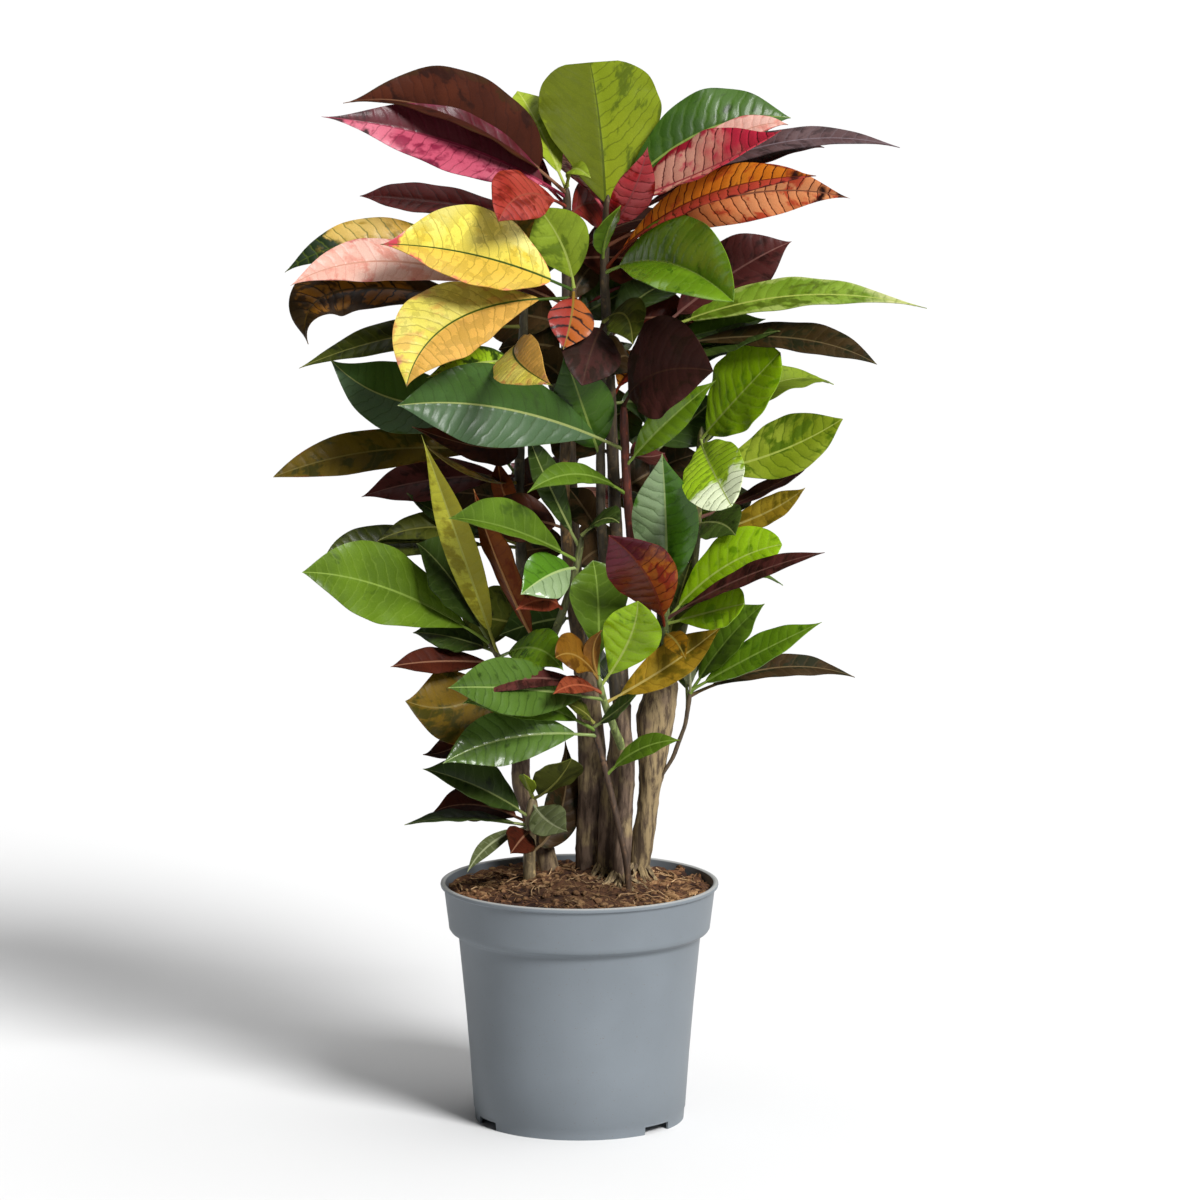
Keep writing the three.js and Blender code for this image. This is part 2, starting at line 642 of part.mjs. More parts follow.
// Leaf number `index` of the `count` that a stem has behind, with its tip bent clear.
// They fan out backwards along the upper part of the stem, and droop more the lower they grow.
function backLeaf(path, index, count, bend) {
  const foot = path[0][2];
  const top = path[path.length - 1][2];
  const root = pointOnPath(path, top - 16 - ((top - foot) * 0.72 * index) / count);
  const turn = ((index * GOLDEN_TURN + top) % BACK_FAN) - BACK_FAN / 2;
  const angle = THREE.MathUtils.degToRad(90 + turn + bend.swing);
  const reach = 100 + 9 * ((index * 5 + top) % 6);
  const rise = 22 - 6 * index + bend.rise;
  const out = new THREE.Vector3(Math.cos(angle), Math.sin(angle), 0);
  const tip = root.clone().addScaledVector(out, reach).add(new THREE.Vector3(0, 0, rise));
  const middle = root.clone().lerp(tip, 0.5).add(new THREE.Vector3(0, 0, 22));
  const width = 42 + ((index * 7 + top) % 12);
  const blade = { width, lean: 12, blunt: 0.15, fold: FOLD, stations: BACK_STATIONS };
  return withMiddle({ root, tip, ...blade }, middle);
}

// ---------------------------------------------------------------- the plant

function boxesMeet(a, b) {
  return [0, 1, 2].every((axis) => a.min[axis] <= b.max[axis] && b.min[axis] <= a.max[axis]);
}

const wood = [];
const placed = [];

function addWood(name, path, radii) {
  let body = woodSolid(path, radii, 0);
  for (const other of wood) {
    if (boxesMeet(body.boundingBox(), other.spare.boundingBox())) {
      body = largest(body.subtract(other.spare));
    }
  }
  const record = { name, solid: body, spare: woodSolid(path, radii, FORK_GAP), box: body.boundingBox() };
  wood.push(record);
  placed.push(record);
  return body;
}

// Whether a blade, with air round it, meets anything of another node.
function isClear(name, leaf) {
  const spare = leafSolid(leaf, GAP);
  const box = spare.boundingBox();
  return placed.every((other) => other.name === name
    || !boxesMeet(box, other.box)
    || spare.intersect(other.solid).isEmpty());
}

const leavesOf = {};

// Adds the first of a leaf's bent shapes that is clear. A leaf with no room is not grown.
function addLeaf(name, bends, shape) {
  const leaf = bends.map(shape).find((bent) => isClear(name, bent));
  if (leaf) {
    const solid = leafSolid(leaf, 0);
    leavesOf[name].push(solid);
    placed.push({ name, solid, box: solid.boundingBox() });
  }
}

const trunkBodies = {};
for (const [name, { path, radii }] of Object.entries(TRUNKS)) {
  trunkBodies[name] = addWood(name, path, radii);
}

const stemBodies = {};
for (const [name, stem] of Object.entries(STEMS)) {
  stemBodies[name] = addWood(name, stem.path, tapered(stem.radii, stem.path.length));
  leavesOf[name] = [];
}

for (const [name, stem] of Object.entries(STEMS)) {
  for (const row of stem.leaves) {
    addLeaf(name, DEPTH_BENDS, (bend) => seenLeaf(stem.path, row, bend));
  }
}

for (const [name, stem] of Object.entries(STEMS)) {
  for (let index = 0; index < stem.behind; index += 1) {
    addLeaf(name, BACK_BENDS, (bend) => backLeaf(stem.path, index, stem.behind, bend));
  }
}

// ---------------------------------------------------------------- the scene graph

const group = new THREE.Group();

function addNode(name, solid, colour, roughness) {
  const material = new THREE.MeshStandardMaterial({ color: colour, roughness, metalness: 0 });
  const mesh = new THREE.Mesh(geometryOf(solid), material);
  mesh.name = name;
  group.add(mesh);
}

let soil = soilSolid();
for (const { spare } of wood) {
  soil = soil.subtract(spare);
}

addNode('pot', potSolid(), COLOURS.pot, 0.45);
addNode('soil', largest(soil), COLOURS.soil, 0.95);
for (const [name, solid] of Object.entries(trunkBodies)) {
  addNode(name, solid, COLOURS.bark, 0.85);
}
for (const [name, stem] of Object.entries(STEMS)) {
  const whole = leavesOf[name].reduce((body, leaf) => body.add(leaf), stemBodies[name]);
  addNode(`${name}_leaves`, largest(whole), stem.colour, 0.4);
}

export default group;
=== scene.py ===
"""Potted croton: woody trunks with painted leathery blades, in coir soil in a grey nursery pot."""

import math
import random

import bpy
import numpy as np
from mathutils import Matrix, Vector, noise


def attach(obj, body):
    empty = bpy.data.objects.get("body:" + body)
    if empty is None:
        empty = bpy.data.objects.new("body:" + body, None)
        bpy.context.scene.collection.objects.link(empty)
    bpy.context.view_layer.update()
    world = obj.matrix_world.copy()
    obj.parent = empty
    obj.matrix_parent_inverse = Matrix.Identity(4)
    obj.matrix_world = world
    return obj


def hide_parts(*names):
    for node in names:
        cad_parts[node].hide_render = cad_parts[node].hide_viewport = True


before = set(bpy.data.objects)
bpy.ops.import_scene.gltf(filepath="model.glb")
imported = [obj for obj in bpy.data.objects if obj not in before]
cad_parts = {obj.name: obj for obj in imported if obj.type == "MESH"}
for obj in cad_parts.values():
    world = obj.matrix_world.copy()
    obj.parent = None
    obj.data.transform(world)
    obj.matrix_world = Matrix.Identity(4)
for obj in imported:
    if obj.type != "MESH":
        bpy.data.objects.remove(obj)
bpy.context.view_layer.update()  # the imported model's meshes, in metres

bl_info = {
    "name": "Potted croton",
    "version": (1, 0, 0),
    "blender": (4, 5, 0),
    "location": "3D View > Sidebar > Croton",
    "description": "Models a potted croton, leaf by leaf, round its packed frame",
    "category": "Add Mesh",
}

MM = 0.001

# ------------------------------------------------------------------ the plant, in millimetres

# The leaves are laid out as they are seen from this point, about the plant's middle plane.
EYE = np.array([15.5, -5000.0, 1213.0])

# A leaf: the bare stalk as a share of its length, and, as shares of the half width, how far the
# halves are folded up, how far the margin droops, and its slow and its quick waves, with the
# number of them along the blade.
PETIOLE = 0.12
FOLD = 0.30
CUP = 0.12
RIPPLE, RIPPLE_WAVES = 0.03, 2.5
FRILL, FRILL_WAVES = 0.035, 4.3

# The bends that a tip may have taken to clear other stems: along the line of sight for a leaf
# of the table, and a rise with a swing in degrees for one of the leaves behind.
DEPTH_BENDS = [0, -9, 9, -18, 18, -27, 27, -36, 36, -48, 48, -60, 60, -75, 75]
BACK_BENDS = [(rise, swing) for swing in (0, 13, -13, 26, -26, 39, -39) for rise in (0, 16, -16, 32, -32)]
TIP_MATCH = 0.3  # how near the CAD stem's corner must be to such a tip

# The leaves behind a stem start so far below its top, over this share of its height, and each
# turns from the last by the golden angle, within a fan at the back. BACK_REACH and BACK_WIDTH
# are the least that they have, BACK_RISE is the top one's, and BACK_BOW bends their ribs up.
BACK_START, BACK_SPAN = 16, 0.72
BACK_FAN, GOLDEN_TURN = 120, 137.508
BACK_REACH, BACK_WIDTH = 100, 42
BACK_RISE, BACK_BOW = 22, 22
BACK_LEAN, BACK_BLUNT = 12, 0.15

# Each trunk: the middle of its wood from the buried foot upwards, and its radius there.
TRUNKS = {
  "trunk_left": {
    "path": [[-16, 40, 120], [-24, 38, 190], [-45, 35, 249], [-44, 34, 285], [-39, 34, 318]],
    "radii": [8, 8.5, 7.5, 7, 6],
  },
  "trunk_centre_left": {
    "path": [[8, 35, 120], [8, 34, 184], [10, 32, 284], [3, 31, 345]],
    "radii": [11, 11.5, 10.5, 8.5],
  },
  "trunk_centre": {
    "path": [[24, 20, 120], [22, 19, 187], [24, 18, 246], [31, 15, 290], [33, 14, 322]],
    "radii": [9, 9.5, 8.5, 8, 7],
  },
  "trunk_front": {
    "path": [[33, -6, 120], [31, -4, 190], [34, -3, 236], [36, -3, 266], [34, -3, 296], [28, -6, 328]],
    "radii": [6, 7, 6.5, 6.5, 6, 5],
  },
  "trunk_right": {
    "path": [[42, 26, 120], [45, 25, 190], [53, 22, 246], [56, 21, 275], [57, 20, 306], [65, 21, 338]],
    "radii": [8, 8, 8.5, 11.5, 15, 11.5],
  },
}

# Each leafy stem: the middle of its wood, its radius at foot and top, the kinds of the leaves
# that it has behind, its young wood's colour, its slot, and its
# leaves as they are seen:
# [height of the root on the stem, tip x, tip z, tip depth y, middle x, middle z,
#  width, degrees that the blade leans over, kind, bluntness from 0, pointed, to 1, round,
#  and, where the blade is folded up by more or less than FOLD, its own fold].
# A bluntness below 0 puts the widest part of a blade near its foot.
STEMS = {
  "top_left": {
    "path": [[2, 30, 335], [-4, 36, 420], [-8, 38, 520], [-10, 32, 620], [-9, 24, 706]],
    "radii": [6, 3],
    "behind": ["crimson", "maroon", "wine", "green", "olive", "crimson"],
    "wood": "#4a3a24",
    "slot": "leaf_crimson",
    "leaves": [
      [700, -175, 770, -20, -95, 761, 56, 46, "maroon", -0.6, 0.92],
      [697, -191, 760, -40, -90, 739, 52, 62, "crimson", -0.2],
      [690, -60, 682, -75, -40, 702, 46, 46, "scarlet", 0.5],
      [680, -163, 701, 20, -106, 696, 34, 35, "wine", 0],
      [682, 27, 688, 70, 8, 696, 46, 75, "wine", 0.1],
      [702, -46, 779, 70, -30, 752, 40, 10, "lime", 0.2],
      [706, 9, 714, -14, -4, 721, 14, 40, "lime", 0.2],
      [650, 58, 650, 75, 26, 655, 46, 65, "maroon", 0],
      [600, 60, 640, 78, 25, 625, 44, 50, "deep", 0],
      [600, -75, 612, 85, -42, 612, 50, 60, "umber", 0],
      [645, -52, 645, 80, -30, 652, 44, 60, "deep", 0],
      [520, 50, 545, 88, 22, 535, 46, 55, "deep", 0],
      [480, -60, 470, 88, -35, 485, 46, 60, "maroon", 0],
      [412, 38, 440, 78, 12, 434, 46, 60, "umber", 0],
      [400, -50, 380, 78, -28, 398, 44, 60, "umber", 0],
      [370, 30, 330, 82, 10, 355, 40, 60, "deep", 0],
      [580, -60, 586, 70, -33, 590, 56, 60, "umber", 0.2],
      [612, 14, 652, 55, 2, 640, 24, 60, "umber", 0],
      [430, -48, 432, 70, -26, 436, 34, 60, "umber", 0],
    ],
  },
  "top_right": {
    "path": [[32, 15, 305], [30, 36, 390], [26, 42, 480], [22, 36, 580], [18, 26, 650], [22, 18, 700]],
    "radii": [6, 3],
    "behind": ["rose", "lime", "plum", "orange", "green", "rose"],
    "wood": "#4a3c26",
    "slot": "leaf_rose",
    "leaves": [
      [676, 8, 800, 75, 16, 746, 94, 0, "fan", 1.0],
      [690, 150, 750, -60, 92, 719, 46, 48, "rose", -0.2, 0.82],
      [672, 51, 738, -45, 38, 700, 30, 160, "magenta", 0],
      [642, 176, 716, -95, 84, 697, 36, 48, "orange", 0.2, 0.5],
      [660, 202, 699, -50, 116, 701, 44, 75, "peach", -0.2],
      [680, 238, 737, 0, 134, 737, 30, 28, "slate", 0],
      [675, 182, 737, 20, 122, 727, 28, 30, "plum", 0],
      [690, 157, 759, 50, 88, 747, 60, 52, "ivy", 0.2],
      [672, 155, 754, 10, 102, 739, 28, 42, "blush", 0],
      [640, 115, 622, -95, 66, 651, 62, 50, "bright", 0.7, 0.9],
      [650, 31, 694, -20, 20, 672, 24, 30, "bright", 0.2],
      [600, 90, 604, 45, 57, 610, 44, 55, "maroon", 0],
      [540, 85, 530, 60, 55, 545, 44, 60, "deep", 0],
      [500, -25, 525, 80, 0, 520, 44, 60, "umber", 0],
      [430, 80, 420, 70, 55, 432, 44, 60, "umber", 0],
      [470, 90, 508, 75, 58, 496, 48, 60, "umber", 0],
    ],
  },
  "yellow_head": {
    "path": [[4, 31, 330], [-6, 14, 400], [-12, 0, 480], [-8, -10, 560], [-4, -14, 636]],
    "radii": [5.5, 3],
    "behind": [],
    "wood": "#5a4424",
    "slot": "leaf_yellow",
    "leaves": [
      [632, -148, 665, -75, -75, 656, 66, 60, "yellow", -0.1, 0.58],
      [626, -129, 558, -110, -90, 609, 66, 38, "amber", 0.2],
      [632, -12, 586, -50, -6, 610, 35, 20, "stripe", 0.2],
      [634, -30, 692, -17, -12, 663, 46, 98, "lime", 0.5],
      [618, -100, 648, -20, -52, 638, 42, -30, "maroon", 0],
      [520, -70, 545, -10, -42, 540, 40, 55, "deep", 0],
      [450, -75, 455, 0, -42, 458, 40, 60, "maroon", 0],
      [380, -60, 370, 30, -30, 380, 40, 60, "deep", 0],
      [560, -36, 580, 20, -20, 572, 32, 60, "umber", 0],
    ],
  },
  "upper_right": {
    "path": [[66, 22, 335], [60, 34, 420], [56, 30, 500], [58, 18, 570], [60, 12, 602]],
    "radii": [5, 3],
    "behind": ["olive", "deep", "plum", "bright", "olive"],
    "wood": "#4a4626",
    "slot": "leaf_olive",
    "leaves": [
      [598, 259, 617, -30, 158, 626, 37, 32, "meadow", -0.6],
      [585, 222, 575, -40, 152, 595, 32, 35, "umber", 0.3],
      [588, 139, 609, 20, 100, 600, 30, 40, "green", 0],
      [600, 158, 667, 30, 112, 642, 50, 62, "plum", 0],
      [570, 150, 600, -10, 105, 590, 34, 30, "deep", 0],
      [505, 104, 552, 65, 80, 530, 44, 55, "deep", 0],
    ],
  },
  "mid_right": {
    "path": [[28, -6, 322], [22, -4, 380], [16, -6, 460], [16, -8, 540], [18, -10, 610]],
    "radii": [4.5, 2.8],
    "behind": ["deep"],
    "wood": "#3e3420",
    "slot": "leaf_dark_green",
    "leaves": [
      [606, 2, 559, -55, 10, 588, 46, 30, "burgundy", 0.6],
      [608, 40, 590, -60, 34, 612, 34, 45, "olive", 0.3],
      [505, -12, 586, -32, 3, 542, 46, 123, "ivy", -0.2],
      [560, 40, 575, 25, 30, 580, 36, 50, "umber", 0],
      [445, -8, 482, 25, 4, 466, 26, 60, "umber", 0],
    ],
  },
  "centre": {
    "path": [[62, 20, 320], [52, 2, 380], [40, -8, 430], [35, -12, 490], [33, -14, 548]],
    "radii": [4.5, 3],
    "behind": [],
    "wood": "#5a2416",
    "slot": "leaf_dark_green",
    "leaves": [
      [545, 100, 570, -85, 57, 568, 78, 75, "burgundy", 0.5, 0.4],
      [512, -136, 544, -85, -53, 541, 62, 78, "dusk", 0.3],
      [500, 102, 563, -60, 64, 530, 28, 85, "bright", 0],
      [478, -39, 478, -70, -2, 492, 22, 40, "green", 0],
      [510, 64, 508, 30, 50, 505, 32, 30, "plum", 0],
    ],
  },
  "right": {
    "path": [[68, 22, 335], [82, 26, 390], [88, 26, 440], [90, 24, 500], [92, 22, 525]],
    "radii": [4.5, 2.8],
    "behind": ["lime", "moss", "green"],
    "wood": "#5a5a2a",
    "slot": "leaf_lime",
    "leaves": [
      [515, 150, 584, -20, 114, 545, 66, 70, "spring", 0.9],
      [515, 114, 468, -115, 98, 499, 52, 40, "sheen", 0.9],
      [490, 197, 534, 0, 146, 508, 48, 62, "moss", 0.4],
      [455, 178, 508, 30, 145, 483, 26, 15, "plum", 0],
      [440, 169, 482, 0, 138, 462, 24, 55, "gold", 0],
      [470, 130, 478, 50, 112, 474, 30, 40, "olive", 0],
      [450, 117, 446, -30, 105, 455, 38, 40, "deep", 0.1],
    ],
  },
  "right_low": {
    "path": [[66, 20, 330], [65, 4, 350], [64, -6, 372], [66, -14, 396]],
    "radii": [4, 2.5],
    "behind": ["green"],
    "wood": "#5c6a34",
    "slot": "leaf_green",
    "leaves": [
      [392, 62, 508, -60, 65, 450, 50, 180, "polished", 0.1],
      [375, 22, 446, -85, 51, 415, 50, 150, "sunset", 0.4],
      [382, 152, 439, -45, 106, 420, 46, 58, "spring", 0.8],
      [384, 184, 433, -110, 124, 414, 22, 45, "plum", 0],
      [380, 124, 394, -60, 100, 388, 36, 60, "spring", 0.9],
      [372, 80, 352, -50, 72, 366, 18, 30, "bronze", 0],
      [360, 84, 428, 32, 74, 396, 28, 60, "olive", 0],
    ],
  },
  "left_mid": {
    "path": [[-38, 34, 305], [-30, 6, 345], [-14, -16, 385], [-2, -24, 425], [2, -26, 450]],
    "radii": [4, 2.5],
    "behind": [],
    "wood": "#6a7040",
    "slot": "leaf_dark_green",
    "leaves": [
      [430, -98, 459, -80, -51, 450, 34, 50, "green", 0.1, 0.9],
      [440, -39, 523, -40, -23, 484, 26, 70, "deep", 0],
      [425, -44, 401, -70, -22, 416, 38, 58, "polished", 0.2],
      [352, -79, 481, -40, -60, 424, 34, 0, "russet", -0.2],
      [450, 30, 455, -50, 18, 458, 26, 30, "deep", 0],
      [392, -48, 389, -60, -27, 397, 20, 60, "brick", 0],
    ],
  },
  "left": {
    "path": [[-39, 33, 298], [-48, 24, 330], [-62, 16, 352], [-70, 12, 366]],
    "radii": [4, 2.5],
    "behind": [],
    "wood": "#5e5c38",
    "slot": "leaf_green",
    "leaves": [
      [362, -208, 418, -60, -140, 404, 62, 68, "green", 0.3],
      [350, -118, 522, -80, -90, 440, 25, 150, "chartreuse", -0.4],
      [360, -122, 440, -20, -96, 412, 54, 65, "deep", 0.1],
      [345, -142, 346, -30, -104, 350, 24, 45, "maroon", 0],
      [340, -131, 320, -20, -90, 317, 62, 65, "olivebrown", 0.3],
      [325, -118, 279, 0, -85, 290, 28, 30, "maroon", 0],
      [350, -12, 343, -60, -33, 360, 34, 50, "bright", 0],
      [355, -125, 372, 10, -95, 368, 40, 30, "deep", 0],
    ],
  },
  "upper_left": {
    "path": [[-38, 34, 310], [-42, 44, 380], [-46, 42, 460], [-44, 34, 540], [-42, 26, 600], [-40, 20, 640]],
    "radii": [5, 3],
    "behind": ["olivebrown", "deep", "maroon", "green", "cream"],
    "wood": "#46402a",
    "slot": "leaf_olive",
    "leaves": [
      [625, -215, 634, -60, -140, 652, 36, 56, "blush", 0],
      [635, -219, 644, -10, -142, 667, 38, 50, "cream", 0],
      [610, -202, 590, -30, -172, 631, 49, 45, "tiger", 0],
      [600, -209, 572, 0, -128, 597, 30, 40, "olive", 0],
      [545, -186, 579, 10, -128, 546, 56, 62, "dusk", 0.1],
      [500, -229, 490, -10, -140, 511, 34, 58, "olivebrown", 0.5],
      [485, -163, 475, 30, -108, 488, 38, 50, "plum", 0],
      [480, -114, 514, -50, -82, 492, 32, 15, "bronze", 0],
      [450, -61, 504, 16, -56, 477, 18, -20, "rust", 0],
      [430, -192, 428, -10, -142, 440, 30, 50, "olive", 0],
      [432, -152, 441, 0, -104, 452, 26, 45, "olive", 0],
      [440, -129, 478, 20, -95, 458, 26, 40, "deep", 0],
      [572, -114, 565, -88, -75, 576, 26, 70, "marbled", 0],
      [590, -20, 559, -150, -47, 579, 42, 45, "amber", 0],
      [515, -125, 528, -30, -70, 512, 40, 45, "maroon", 0],
      [462, -98, 478, 72, -70, 476, 36, 60, "umber", 0],
      [370, -90, 385, 70, -63, 382, 52, 60, "olive", 0],
    ],
  },
  "low_centre": {
    "path": [[34, -3, 280], [25, -14, 305], [18, -22, 325], [14, -30, 346]],
    "radii": [3.5, 2.5],
    "behind": [],
    "wood": "#7c8c4c",
    "slot": "leaf_lime",
    "leaves": [
      [336, 44, 396, -65, 37, 366, 44, 140, "spring", 0.6],
      [340, -18, 353, -70, -2, 354, 32, 65, "caramel", 0.6],
      [340, 17, 374, -50, 10, 358, 16, 30, "caramel", 0],
      [330, -20, 325, -95, -2, 332, 16, 50, "brick", 0],
      [345, 10, 427, -15, 14, 394, 46, 20, "green", 0.4],
      [322, 107, 377, -45, 66, 346, 32, 60, "gold", 0],
      [332, -85, 321, -112, -38, 337, 18, 50, "plum", 0],
      [325, -99, 330, -80, -44, 329, 46, 65, "glossy", 0.1],
    ],
  },
  "low_front": {
    "path": [[38, -22, 150], [36, -22, 200], [28, -24, 235], [22, -24, 262], [14, -25, 296], [10, -26, 310]],
    "radii": [2.6, 2.2],
    "behind": [],
    "wood": "#4c3826",
    "slot": "leaf_green",
    "leaves": [
      [298, -103, 272, -80, -50, 292, 42, 60, "glossy", 0.1],
      [302, -88, 318, -60, -42, 320, 34, 55, "green", 0],
      [268, 76, 290, -50, 46, 283, 20, 50, "green", 0],
      [305, 43, 325, -45, 28, 312, 22, 40, "deep", 0.1],
      [308, -10, 318, -40, 2, 312, 24, 40, "olive", 0.3],
    ],
  },
  "low_left": {
    "path": [[-38, 12, 150], [-38, 12, 200], [-37, 10, 225], [-35, 8, 246]],
    "radii": [5, 4.5],
    "behind": [],
    "wood": "#8a7a58",
    "slot": "leaf_green",
    "leaves": [
      [228, -118, 268, -35, -75, 253, 40, 52, "deep", 0, 0.6],
      [222, -132, 225, -20, -85, 230, 30, 5, "deep", 0],
      [224, -111, 234, 30, -78, 240, 40, 35, "maroon", 0],
      [218, -52, 203, -55, -44, 214, 26, 40, "maroon", 0.2],
      [222, -85, 188, -65, -66, 211, 12, 40, "pale", 0],
      [240, -9, 220, -45, -24, 228, 30, 40, "pale", 0],
      [243, -6, 276, -30, -18, 258, 40, -10, "olive", 0.3],
      [244, -42, 264, -25, -39, 256, 14, 20, "lime", 0.2],
      [200, -11, 292, 42, -14, 236, 32, 60, "umber", -0.3],
    ],
  },
  "low_right": {
    "path": [[56, 20, 250], [70, 16, 272], [80, 12, 300], [84, 10, 328]],
    "radii": [1.8, 1.8],
    "behind": ["deep"],
    "wood": "#5a4a34",
    "slot": "leaf_dark_green",
    "leaves": [
      [326, 182, 380, -50, 130, 354, 30, 55, "bright", 0],
      [324, 139, 394, 0, 111, 366, 44, 40, "green", 0],
      [322, 207, 338, 30, 148, 345, 26, 30, "umber", 0],
      [326, 84, 354, -20, 83, 342, 12, 20, "pale", 0],
    ],
  },
}

